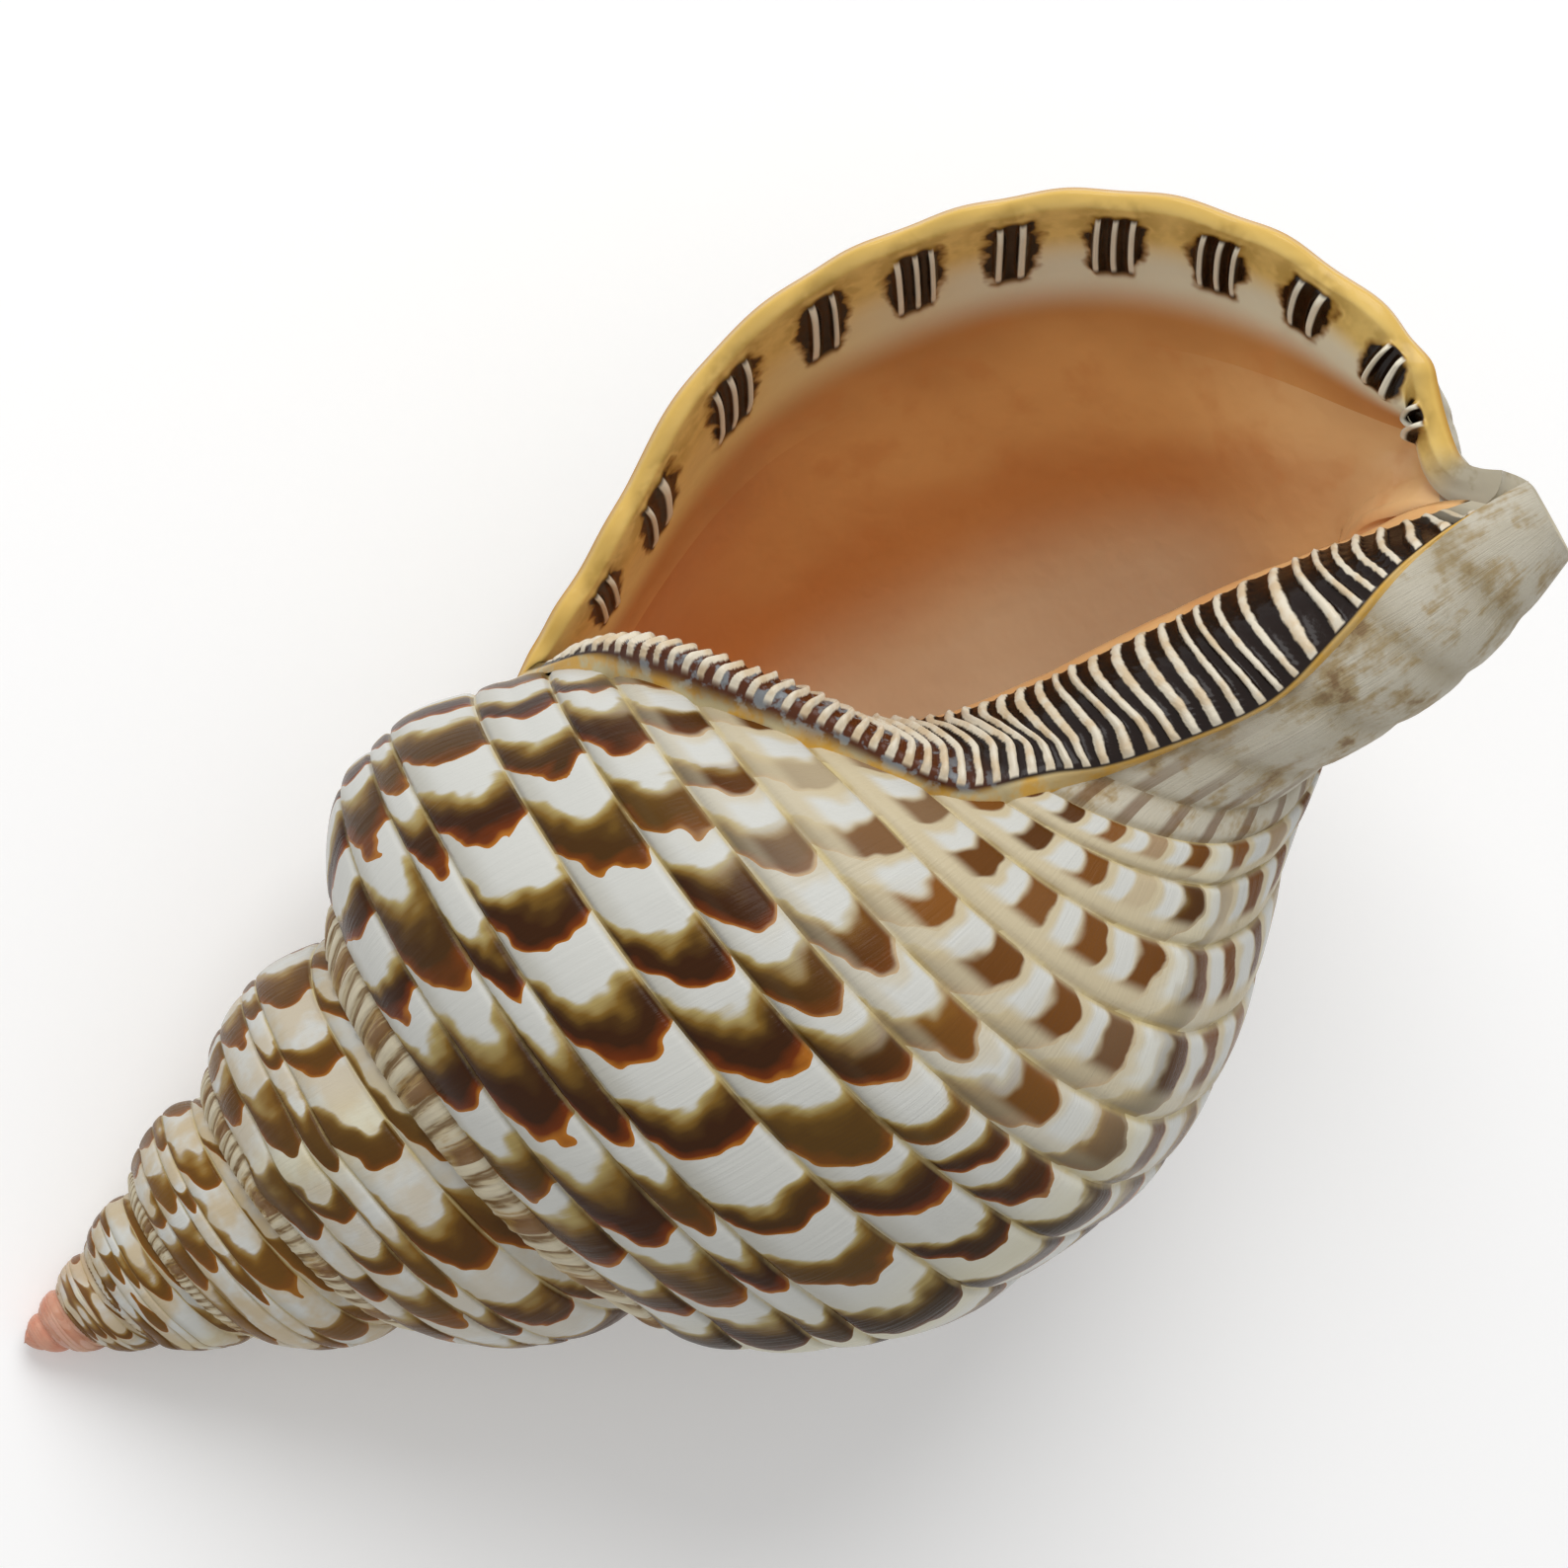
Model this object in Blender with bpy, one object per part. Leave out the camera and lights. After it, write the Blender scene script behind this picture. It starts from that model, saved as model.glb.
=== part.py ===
# Triton shell: one closed hollow spiral shell with an open mouth, a rolled inner lip and a short canal.
# Every section of the shell is the same outline, scaled by a growth factor as it turns about the axis.
# Angles run along the growth: 0 at the edge of the outer lip, negative towards the tip of the spire.
# Rows run across a section: 0 at the suture, 5 where the next turn covers it, 9 at the root of the neck
# and 13 at the rim of the canal's tip.
import bpy
import bmesh
import numpy as np
from mathutils import Matrix

# ---- driving dimensions (metres, radians) ----
SHELL_LENGTH = 0.280             # from the point where the whorls would vanish to the canal's tip
GROWTH_PER_TURN = 1.585          # each turn is this much larger than the one before
TURNS = 8                        # turns from the spire's tip to the lip
DEPTH_TO_WIDTH = 0.92            # the shell is a little flatter from mouth to back than from side to side
WALL = 0.0130                    # wall thickness at the mouth, as a share of the length
LIP_SWELL = 0.0100               # extra thickness of the lip where it bears its teeth
RIDGE_LIFT = 0.0110              # how far the inner lip stands off the whorl it lies on
VARIX_LIFT = 0.0090              # height of the old lips left on the whorls
VARIX_FIRST = np.radians(196)    # from the lip's edge back to the first old lip
VARIX_SPACING = np.radians(218)  # from one old lip to the next
VARIX_WIDTH = np.radians(9)
HOLLOW_TURNS = 1.5               # how far up the spire the hollow is open

COLUMNS = 34                     # faces round one turn
BACK_SPREAD = 0.7                # the faces are wider over the back by this share, and narrower opposite
BACK_ANGLE = np.radians(-82)     # middle of the back, where the shell rests on one broad flat face
SPIRE_ROWS = 6                   # faces from suture to suture
BASE_ROWS = [5.8, 6.6, 7.4, 8.2, 9.0, 9.6, 10.2, 10.9, 11.6, 12.3, 13.0]
DEEP_STEP = np.radians(20)       # between the rings deep in the hollow

# Outline of a section for growth factor 1: (distance from the axis, distance from the tip), in lengths.
WHORL = np.array([(0.1840, 0.4465), (0.2130, 0.4740), (0.2490, 0.5110), (0.2790, 0.5660),
                  (0.2965, 0.6300), (0.2916, 0.7077), (0.2780, 0.7850), (0.2205, 0.8730),
                  (0.1500, 0.9330), (0.1060, 0.9790)])
# The same points at the flared outer lip.
LIP = np.array([(0.1840, 0.4465), (0.2110, 0.4800), (0.2460, 0.5420), (0.2880, 0.6110),
                (0.3075, 0.6750), (0.3100, 0.7355), (0.2950, 0.8150), (0.2580, 0.8900),
                (0.1920, 0.9510), (0.1150, 0.9830)])
# The body whorl's shoulder where it starts, and how far the suture strays from its even course there
# and at the lip: (angle, shift outwards, shift along).
SHOULDER = np.array([(0.1980, 0.4680), (0.2850, 0.5240), (0.3095, 0.5680), (0.3195, 0.6210)])
SHOULDER_ANGLE = np.radians(-355)
SUTURE_STRAYS = [(0, 0.0085, 0.0045), (-2 * np.pi, 0.0, 0.0250)]
STRAY_LENGTH = np.radians(55)
# The neck: how far each of its rows is from its root to the canal's tip, and its radius on the way.
NECK_STEPS = np.array([0.12, 0.40, 0.70, 1.00])
NECK_DISTANCE = [0.80, 0.866, 0.91, 0.952, 0.975, 1.00]
NECK_RADIUS = [0.070, 0.068, 0.062, 0.056, 0.049, 0.033]
NECK_AT_LIP = np.array([(0.082, 0.982), (0.052, 0.975), (0.036, 0.977), (0.026, 0.990)])
# Inner side of the hollow, rows 5 to 13: corner of the mouth, whorl below, pillar in the middle.
PILLAR = np.array([(0.1890, 0.4705), (0.1740, 0.5000), (0.1420, 0.5450), (0.1080, 0.5880),
                   (0.0750, 0.6300), (0.0580, 0.7000), (0.0550, 0.8000), (0.0550, 0.8900),
                   (0.0600, 0.9400)])
CORNER_SHIFT = np.array([0.0050, 0.0240])   # from the suture to the inner corner of the hollow
HOLLOW_END = np.array([0.0800, 0.9580])     # front end of the hollow, on the outer wall
ROOT_ROW = 9
# Outer edge of the inner lip: its angle past the right side of the mouth at rows of the section.
INNER_LIP_ROW = [5, 6, 6.8, 7.4, 7.7, 8.1, 9.2, 10.2, 10.9, 11.6, 12.2, 13]
INNER_LIP_ANGLE = np.radians([0, 25, 51, 66, 77, 90, 102, 112, 117, 106, 88, 62])
INNER_LIP_WIDTH_ROW = [5, 6.8, 9, 11, 13]
INNER_LIP_WIDTH = np.radians([4, 13, 38, 50, 26])
# Rings of the mouth, from its edge inwards: angle of the outer lip in degrees, share of the wall crossed,
# place on the inner lip (0 its outer edge, 1 its inner edge), its height, share of the pillar's outline,
# size of the canal's tip against its rim, and how far the tip has risen from the rim.
MOUTH_RINGS = [(1.5, 0.35, 0.10, 0.80, 0.00, 0.95, 0.001), (0.5, 0.85, 0.26, 1.00, 0.00, 0.82, 0.004),
               (-6, 1.00, 0.60, 1.00, 0.00, 0.68, 0.010), (-13, 1.00, 1.00, 0.75, 0.10, 0.62, 0.019),
               (-22, 1.00, 1.35, 0.25, 0.30, 0.60, 0.030), (-34, 1.00, 1.90, 0.00, 0.60, 0.58, 0.050),
               (-48, 1.00, 2.60, 0.00, 0.85, 0.55, 0.070), (-64, 1.00, 3.40, 0.00, 1.00, 0.50, 0.080)]
# Resting place: the shell lies mouth up, on the back of its body whorl and the tip of its spire.
REST_SPIN = np.radians(97.5)     # turn about its own axis, from the mouth facing -Y
REST_PITCH = np.radians(-114.2)  # from the spire straight up to the spire pointing along -X and down
TURN = 2 * np.pi


def growth(angle):
    return GROWTH_PER_TURN ** (angle / TURN)


def ease(start, end, value):
    x = np.clip((value - start) / (end - start), 0, 1)
    return x * x * (3 - 2 * x)


def column_angles(turns):
    """Angles of the columns over the last turns: even steps, spread out over the back."""
    angle = (np.arange(COLUMNS * turns + 1) / COLUMNS - turns) * TURN
    return angle + BACK_SPREAD * (np.sin(angle - BACK_ANGLE) + np.sin(BACK_ANGLE))


def spline_weights(stations, count):
    """Weights of a smooth curve through `count` evenly numbered points, one row for each station."""
    stations = np.clip(np.asarray(stations, float), 0, count - 1)
    first = np.minimum(np.floor(stations).astype(int), count - 2)
    f = stations - first
    parts = (-0.5 * f + f**2 - 0.5 * f**3, 1 - 2.5 * f**2 + 1.5 * f**3,
             0.5 * f + 2 * f**2 - 1.5 * f**3, -0.5 * f**2 + 0.5 * f**3)
    padded = np.zeros((len(stations), count + 2))
    for shift, weight in enumerate(parts):
        padded[np.arange(len(stations)), first + shift] += weight
    padded[:, 1] += 2 * padded[:, 0]
    padded[:, 2] -= padded[:, 0]
    padded[:, -2] += 2 * padded[:, -1]
    padded[:, -3] -= padded[:, -1]
    return padded[:, 1:-1]


def suture(angle):
    """Where the suture lies at each angle, in lengths."""
    course = np.repeat(WHORL[:1], len(angle), 0)
    for middle, outwards, along in SUTURE_STRAYS:
        near = ease(STRAY_LENGTH, 0, np.abs(angle - middle))[:, None]
        course = course + near * np.array([outwards, along])
    return course * growth(angle)[:, None]


def section_points(angle):
    """The 14 outline points of the section at each angle, as (distance from axis, distance from tip)."""
    scale = growth(angle)[None, :, None]
    flare = ease(np.radians(-45), 0, angle)[None, :, None]
    whorl = WHORL[:, None] * (1 - flare) + LIP[:, None] * flare
    broad = np.exp(-((angle - SHOULDER_ANGLE) / np.radians(32))**2)[None, :, None]
    whorl[1:5] = whorl[1:5] * (1 - broad) + SHOULDER[:, None] * broad
    whorl = whorl * scale
    whorl[0] = suture(angle)
    below = ease(np.radians(-300), -TURN, angle)[:, None]
    whorl[5] = whorl[5] * (1 - below) + suture(angle + TURN) * below
    root = whorl[ROOT_ROW, :, 1]
    along = root + (1 - root) * NECK_STEPS[:, None]
    side = 0.72 + 0.28 * (0.5 - 0.5 * np.cos(angle))
    radius = np.interp(along, NECK_DISTANCE, NECK_RADIUS) * side
    neck = np.stack([radius, along], -1)
    cut = ease(np.radians(-70), 0, angle)[None, :, None]
    neck = neck * (1 - cut) + NECK_AT_LIP[:, None] * cut
    return np.concatenate([whorl, neck])


def first_turn(row, angle):
    """Share of its radius that a point keeps where the first turn opens out from the axis."""
    opened = ease(-TURNS * TURN, -(TURNS - 1) * TURN, angle)
    return opened + (1 - opened) * np.clip(row / 5, 0, 1)


def place(radius, along, angle):
    return np.stack([radius * np.cos(angle), -radius * np.sin(angle) * DEPTH_TO_WIDTH, -along], -1)


def smooth_surface(row, angle):
    """The outer surface before the varices are raised on it."""
    section = np.einsum('nk,knc->nc', spline_weights(row, 14), section_points(angle))
    return place(section[:, 0] * first_turn(row, angle), section[:, 1], angle)


def outer_points(row, angle):
    """Points and outward normals of the outer surface at matching arrays of row and angle."""
    shape = np.broadcast(row, angle).shape
    row, angle = (np.broadcast_to(a, shape).ravel() for a in (row, angle))
    step = 1e-3
    along_row = smooth_surface(row + step, angle) - smooth_surface(row - step, angle)
    along_angle = smooth_surface(row, angle + step) - smooth_surface(row, angle - step)
    normal = np.cross(along_angle, along_row)
    normal /= np.maximum(np.linalg.norm(normal, axis=1, keepdims=True), 1e-12)
    lift = 0.8 * np.exp(-((angle + np.radians(14)) / VARIX_WIDTH)**2)
    for middle in np.arange(-VARIX_FIRST, -TURNS * TURN, -VARIX_SPACING):
        lift += np.exp(-((angle - middle) / VARIX_WIDTH)**2)
    covered = np.where(angle < -TURN, row, 0)
    fade = ease(0, 1.2, row) * ease(9.5, 8.0, row) * ease(5, 4, covered)
    points = smooth_surface(row, angle) + normal * (lift * fade * VARIX_LIFT * growth(angle))[:, None]
    return points.reshape(*shape, 3), normal.reshape(*shape, 3)


def hollow_outer(row, angle, wall_share, fold):
    """Inner face of the outer wall."""
    points, normal = outer_points(np.minimum(row, ROOT_ROW + 4 * (1 - fold)), angle)
    swell = np.exp(-((angle + np.radians(14)) / np.radians(11))**2) * ease(0, 2, row)
    depth = (WALL * growth(angle) + LIP_SWELL * swell) * wall_share
    inside = points - normal * depth[:, None]
    scale = growth(angle)
    corner = suture(angle) + CORNER_SHIFT * wall_share * scale[:, None]
    corner = place(corner[:, 0], corner[:, 1], angle)
    near = (1 - ease(0, 1.4, row))[:, None]
    inside = inside * (1 - near) + corner * near
    end = place(HOLLOW_END[0] * scale, HOLLOW_END[1] * scale, angle)
    past_root = (fold * np.clip((row - ROOT_ROW) / 4, 0, 1))[:, None]
    return inside * (1 - past_root) + end * past_root


def hollow_inner(row, angle, lift, share):
    """Inner lip, the whorl below it and the pillar; `angle` is counted from the right side of the mouth."""
    points, normal = outer_points(row, angle - TURN)
    stands = ease(5, 6.5, row) * ease(13, 10.5, row)
    inside = points + normal * (lift * RIDGE_LIFT * stands)[:, None]
    scale = growth(np.minimum(angle, 0))
    section = spline_weights(row - 5, len(PILLAR)) @ PILLAR * scale[:, None]
    stray = (suture(angle) - WHORL[0] * growth(angle)[:, None]) * ease(7, 5, row)[:, None]
    pillar = place(section[:, 0] + stray[:, 0], section[:, 1] + stray[:, 1], angle)
    return inside * (1 - share) + pillar * share


def mouth_ring(rows, rim, ring):
    """One closed ring of the hollow: outer wall, canal tip, then back along the inner lip."""
    outer_angle, wall_share, across, lift, share, size, rise = ring
    inner_rows = rows[::-1][:np.sum(rows > 5)]
    course = np.interp(inner_rows, INNER_LIP_ROW, INNER_LIP_ANGLE)
    width = np.interp(inner_rows, INNER_LIP_WIDTH_ROW, INNER_LIP_WIDTH)
    inner_angle = course - width * across
    inner_angle = inner_angle * (1 - share) + min(outer_angle, 0) * share
    outer = hollow_outer(rows, np.full(len(rows), outer_angle), wall_share, share)
    inner = hollow_inner(inner_rows, inner_angle, lift, share)
    # the canal's tip: its rim drawn in and up, both lips led to its ends
    middle = rim.mean(0)
    tip = middle + (rim - middle) * np.array([size, size, 1]) + np.array([0, 0, rise])
    start, end = (tip[i] * (1 - share) + side * share for i, side in ((0, outer[-1]), (-1, inner[0])))
    outer = outer + ease(9.5, 13, rows)[:, None] * (start - outer[-1])
    inner = inner + ease(9.5, 13, inner_rows)[:, None] * (end - inner[0])
    u = np.linspace(0, 1, len(rim))[:, None]
    tip = tip * (1 - share) + (start * (1 - u) + end * u) * share
    return np.concatenate([outer, tip[1:-1], inner])


def build_shell():
    """Points and faces of the whole shell, in lengths, with the axis along Z and the spire up."""
    spire_rows = np.linspace(0, 5, SPIRE_ROWS + 1)
    rows = np.concatenate([spire_rows, BASE_ROWS])
    blocks = []
    faces = []

    def add(block):
        start = sum(len(b) for b in blocks)
        blocks.append(block)
        return start + np.arange(len(block))

    def quads(a, b, c, d):
        faces.extend(np.stack([a.ravel(), b.ravel(), c.ravel(), d.ravel()], 1).tolist())

    # all turns from suture to suture; the row at the lower suture is the next turn's first row
    columns = COLUMNS * TURNS
    block, _ = outer_points(spire_rows[:-1, None], column_angles(TURNS)[None])
    grid = add(block.reshape(-1, 3)).reshape(SPIRE_ROWS, columns + 1)
    spire = np.vstack([grid[:, :-COLUMNS], grid[:1, COLUMNS:]])
    quads(spire[:-1, :-1], spire[1:, :-1], spire[1:, 1:], spire[:-1, 1:])
    # base and neck of the last turn, starting at the inner lip
    low = rows[SPIRE_ROWS:]
    course = np.interp(low, INNER_LIP_ROW, INNER_LIP_ANGLE)[:, None]
    low_angle = (1 - course / TURN) * column_angles(1)[None]
    block, _ = outer_points(low[:, None], low_angle)
    low_grid = add(block.reshape(-1, 3)).reshape(block.shape[:2])
    low_grid[0, 0] = grid[0, -1]
    body = np.vstack([grid[:, -COLUMNS - 1:], low_grid])
    quads(body[:-1, :-1], body[1:, :-1], body[1:, 1:], body[:-1, 1:])
    # a fan closes the spire inside the first turn
    for k in range(1, COLUMNS):
        faces.append([int(grid[0, 0]), int(grid[0, k]), int(grid[0, k + 1])])
    faces[-1] += grid[:0:-1, 0].tolist()
    # mouth and hollow, ring by ring from the edge inwards
    ring = np.concatenate([body[:, -1], body[-1, -2:0:-1], body[:SPIRE_ROWS:-1, 0]])
    stops = [(np.radians(stop[0]),) + stop[1:] for stop in MOUTH_RINGS]
    deep = np.arange(stops[-1][0] - DEEP_STEP, -HOLLOW_TURNS * TURN, -DEEP_STEP)
    stops += [(a, 1.0, 0.0, 0.0, 1.0, 1.0, 0.0) for a in deep]
    for stop in stops:
        inner_ring = add(mouth_ring(rows, block[-1, ::-1], stop))
        quads(ring, inner_ring, np.roll(inner_ring, -1), np.roll(ring, -1))
        ring = inner_ring
    middle = int(add(blocks[-1].mean(0)[None])[0])
    faces.extend([[int(a), middle, int(b)] for a, b in zip(ring, np.roll(ring, -1))])
    return np.concatenate(blocks), faces


def lay_down(points):
    """Turn the shell into its resting place; the origin is below the middle of its bounding box."""
    turned = Matrix.Rotation(REST_PITCH, 3, 'Y') @ Matrix.Rotation(REST_SPIN, 3, 'Z')
    points = points @ np.array(turned).T
    low, high = points.min(0), points.max(0)
    return points - np.array([(low[0] + high[0]) / 2, (low[1] + high[1]) / 2, low[2]])


def shell_material():
    material = bpy.data.materials.new("shell")
    material.use_nodes = True
    shader = material.node_tree.nodes["Principled BSDF"]
    shader.inputs["Base Color"].default_value = (0.55, 0.42, 0.28, 1)
    shader.inputs["Roughness"].default_value = 0.35
    return material


def main():
    for thing in list(bpy.data.objects):
        bpy.data.objects.remove(thing)
    points, faces = build_shell()
    mesh = bpy.data.meshes.new("triton_shell")
    mesh.from_pydata(lay_down(points * SHELL_LENGTH).tolist(), [], faces)
    shell = bpy.data.objects.new("triton_shell", mesh)
    bpy.context.scene.collection.objects.link(shell)
    work = bmesh.new()
    work.from_mesh(mesh)
    bmesh.ops.delete(work, geom=[v for v in work.verts if not v.link_faces])
    bmesh.ops.recalc_face_normals(work, faces=work.faces)
    work.to_mesh(mesh)
    work.free()
    mesh.polygons.foreach_set("use_smooth", [True] * len(mesh.polygons))
    mesh.materials.append(shell_material())


main()
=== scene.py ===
import math
import bpy
import numpy as np
from functools import partial
from mathutils import Matrix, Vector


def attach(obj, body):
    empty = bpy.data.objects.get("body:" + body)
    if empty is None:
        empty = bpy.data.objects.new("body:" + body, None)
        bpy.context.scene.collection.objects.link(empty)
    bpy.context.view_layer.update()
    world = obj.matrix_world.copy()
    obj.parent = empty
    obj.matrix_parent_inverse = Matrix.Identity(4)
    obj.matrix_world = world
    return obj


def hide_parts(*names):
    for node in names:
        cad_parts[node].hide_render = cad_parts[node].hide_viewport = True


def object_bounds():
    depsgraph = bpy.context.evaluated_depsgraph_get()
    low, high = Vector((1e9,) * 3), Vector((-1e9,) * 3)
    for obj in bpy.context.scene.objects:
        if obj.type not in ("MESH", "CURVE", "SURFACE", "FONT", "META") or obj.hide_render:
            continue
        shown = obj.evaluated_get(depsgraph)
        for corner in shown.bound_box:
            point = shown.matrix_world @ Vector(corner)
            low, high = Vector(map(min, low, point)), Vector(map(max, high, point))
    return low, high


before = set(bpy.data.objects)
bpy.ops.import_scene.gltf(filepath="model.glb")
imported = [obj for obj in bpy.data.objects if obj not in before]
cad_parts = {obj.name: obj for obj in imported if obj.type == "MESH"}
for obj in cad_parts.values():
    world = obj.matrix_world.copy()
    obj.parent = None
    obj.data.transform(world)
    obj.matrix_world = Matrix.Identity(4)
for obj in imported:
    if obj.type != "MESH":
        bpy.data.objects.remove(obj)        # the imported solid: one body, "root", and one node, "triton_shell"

# A triton shell lying on its back with the mouth up, in metres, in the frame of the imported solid.
# Rows run across a section of the shell: 0 at the suture, 5 where the next turn covers it, 9 at the
# root of the neck, 13 at the rim of the canal's tip. Angles run along the growth: 0 at the lip's edge,
# negative towards the spire's tip. Both are floats, so any surface is a function of (row, angle).

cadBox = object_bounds()
oneTurn = 2 * math.pi


def linear(hexColour):
    # sRGB hex to linear RGBA: the usual piecewise sRGB curve
    parts = [int(hexColour.lstrip("#")[i:i + 2], 16) / 255 for i in (0, 2, 4)]
    return tuple(c / 12.92 if c <= 0.04045 else ((c + 0.055) / 1.055) ** 2.4 for c in parts) + (1.0,)


def ease(start, end, value):
    # smoothstep: 3x^2 - 2x^3 of the clipped share of the way from start to end
    x = np.clip((value - start) / (end - start), 0, 1)
    return x * x * (3 - 2 * x)


def smoothTable(value, stations, values):
    # monotone cubic through a table: Hermite curve whose slopes are harmonic means of the steps beside
    stations, values = np.asarray(stations, float), np.asarray(values, float)
    gap = np.diff(stations)
    slope = np.diff(values) / gap
    mean = np.where(slope[1:] * slope[:-1] > 0,
                    2 * slope[1:] * slope[:-1] / (slope[1:] + slope[:-1] + 1e-30), 0)
    tangent = np.concatenate([[slope[0]], mean, [slope[-1]]])
    value = np.clip(value, stations[0], stations[-1])
    i = np.clip(np.searchsorted(stations, value, side="right") - 1, 0, len(gap) - 1)
    t = (value - stations[i]) / gap[i]
    return ((2 * t**3 - 3 * t**2 + 1) * values[i] + (t**3 - 2 * t**2 + t) * gap[i] * tangent[i]
            + (3 * t**2 - 2 * t**3) * values[i + 1] + (t**3 - t**2) * gap[i] * tangent[i + 1])


def splineWeights(stations, count):
    # natural cubic spline through `count` evenly numbered points, as one row of weights per station:
    # second derivatives come from the tridiagonal system 1, 4, 1
    system = np.eye(count)
    pull = np.zeros((count, count))
    for k in range(1, count - 1):
        system[k, k - 1:k + 2] = 1, 4, 1
        pull[k, k - 1:k + 2] = 6, -12, 6
    bend = np.linalg.solve(system, pull)
    stations = np.clip(np.asarray(stations, float), 0, count - 1)
    i = np.minimum(stations.astype(int), count - 2)
    t = (stations - i)[..., None]
    unit = np.eye(count)
    return ((1 - t) * unit[i] + t * unit[i + 1]
            + ((1 - t)**3 - (1 - t)) / 6 * bend[i] + (t**3 - t) / 6 * bend[i + 1])


def ripple(x, y, seed, waves=7):
    # smooth seeded unevenness, about -1 to 1: a sum of sine waves of random direction and phase
    random = np.random.default_rng(seed)
    total = 0
    for _ in range(waves):
        heading = random.uniform(0, oneTurn)
        pace = random.uniform(0.6, 1.6)
        total = total + np.sin(pace * (x * math.cos(heading) + y * math.sin(heading))
                               + random.uniform(0, oneTurn))
    return total / math.sqrt(waves)


def spreadSamples(start, end, count, crowd):
    # `count` stations from start to end, closer together where crowd(x) is larger
    fine = np.linspace(start, end, 4000)
    density = crowd(fine)
    run = np.concatenate([[0], np.cumsum((density[1:] + density[:-1]) / 2)])
    return np.interp(np.linspace(0, run[-1], count), run, fine)


# the shell's form, in shell lengths, axis along Z and the spire up
form = {
    "length": 0.280,            # metres, spire's tip to canal's tip
    "growthPerTurn": 1.585,
    "turns": 8,
    "depthToWidth": 0.92,
    "wall": 0.0130,
    "lipSwell": 0.0100,
    "lipSwellWidth": math.radians(11),
    "ridgeLift": 0.0110,
    "wallLift": 0.0110,         # more of it where the inner lip crosses the whorl near the suture
    "varixLift": 0.0090,
    "varixFirst": math.radians(196),
    "varixSpacing": math.radians(218),
    "varixWidth": math.radians(9),
    "lipVarix": (math.radians(-14), 0.8),          # where the lip's own one stands, and its share
    # outline of a section at growth 1: (from the axis, from the spire's tip)
    "whorl": [(.1840, .4465), (.2130, .4740), (.2490, .5110), (.2790, .5660), (.2965, .6300),
              (.2916, .7077), (.2780, .7850), (.2205, .8730), (.1500, .9330), (.1060, .9790)],
    "flareFrom": math.radians(-45),         # the whorl's outline blends to the lip's from here
    "lip": [(.1840, .4465), (.2110, .4800), (.2460, .5420), (.2880, .6110), (.3075, .6750),
            (.3100, .7355), (.2950, .8150), (.2580, .8900), (.1920, .9510), (.1150, .9830)],
    # points 1 to 4 where the section is broader, about a turn behind the lip
    "shoulder": [(.1980, .4680), (.2850, .5240), (.3095, .5680), (.3195, .6210)],
    "shoulderAngle": math.radians(-355),
    "shoulderWidth": math.radians(32),
    "sutureStrays": [(0, .0085, .0045), (-oneTurn, 0, .0250)],     # angle, outwards, along
    "strayLength": math.radians(55),
    "neckSteps": [.12, .40, .70, 1.0],      # shares of the way from its root to the canal's tip
    "neckDistance": [.80, .866, .91, .952, .975, 1.0],
    "neckRadius": [.070, .068, .062, .056, .049, .033],
    "neckSide": (0.72, 0.28),               # the neck is broader on its far side
    "cutFrom": math.radians(-70),           # the neck opens into the canal from here
    "neckAtLip": [(.082, .982), (.052, .975), (.036, .977), (.026, .990)],
    # outline of the pillar inside the mouth, and the point that ends the hollow below it
    "pillar": [(.1890, .4705), (.1740, .5000), (.1420, .5450), (.1080, .5880), (.0750, .6300),
               (.0580, .7000), (.0550, .8000), (.0550, .8900), (.0600, .9400)],
    "hollowEnd": (.0800, .9580),
    "cornerShift": (.0050, .0240),          # of the wall's inner face from the suture
    "innerLipRow": [5, 6, 6.8, 7.4, 7.7, 8.1, 9.2, 10.2, 10.9, 11.6, 12.2, 13],
    "innerLipAngle": np.radians([0, 25, 51, 66, 77, 90, 102, 112, 117, 106, 88, 62]),
    "innerLipWidthRow": [5, 6.8, 8, 9, 10, 11, 12, 13],
    "innerLipWidth": np.radians([4, 14, 27, 33, 34, 34, 42, 26]),
    # rings of the mouth from its edge inwards: outer angle in degrees, wall share, place across the
    # inner lip, its height, share of the pillar, size of the canal's tip, rise of the tip
    "rings": [(0, 0, 0, 0, 0, 1.0, 0), (1.5, .35, .10, .80, 0, .95, .001), (.5, .85, .26, 1, 0, .82, .004),
              (-6, 1, .60, 1, 0, .68, .010), (-13, 1, 1.0, .75, .10, .62, .019),
              (-22, 1, 1.35, .25, .30, .60, .030), (-34, 1, 1.90, 0, .60, .58, .050),
              (-48, 1, 2.60, 0, .85, .55, .070), (-64, 1, 3.40, 0, 1, .50, .080)],
    "deepTurns": 1.5,           # the hollow is open this far up the spire
    "restSpin": math.radians(97.5),
    "restPitch": math.radians(-114.2),
}
rootRow, coveredRow, tipRow = 9, 5, 13.0
tiny = 1e-3                     # step for slopes, in rows and radians


def growthAt(angle):
    # growth a turn, to the power of the turns
    return form["growthPerTurn"] ** (angle / oneTurn)


def placeAt(radius, along, angle):
    # cylinder to shell frame: x = r cos a, y = -r sin a (flattened), z = -along
    return np.stack([radius * np.cos(angle), -radius * np.sin(angle) * form["depthToWidth"],
                     -along + 0 * angle], -1)


def sutureAt(angle):
    # the suture: a fixed point of the section times the growth, straying near the lip and a turn back
    course = np.zeros(angle.shape + (2,)) + form["whorl"][0]
    for middle, outwards, along in form["sutureStrays"]:
        near = ease(form["strayLength"], 0, np.abs(angle - middle))[..., None]
        course = course + near * np.array([outwards, along])
    return course * growthAt(angle)[..., None]


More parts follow.
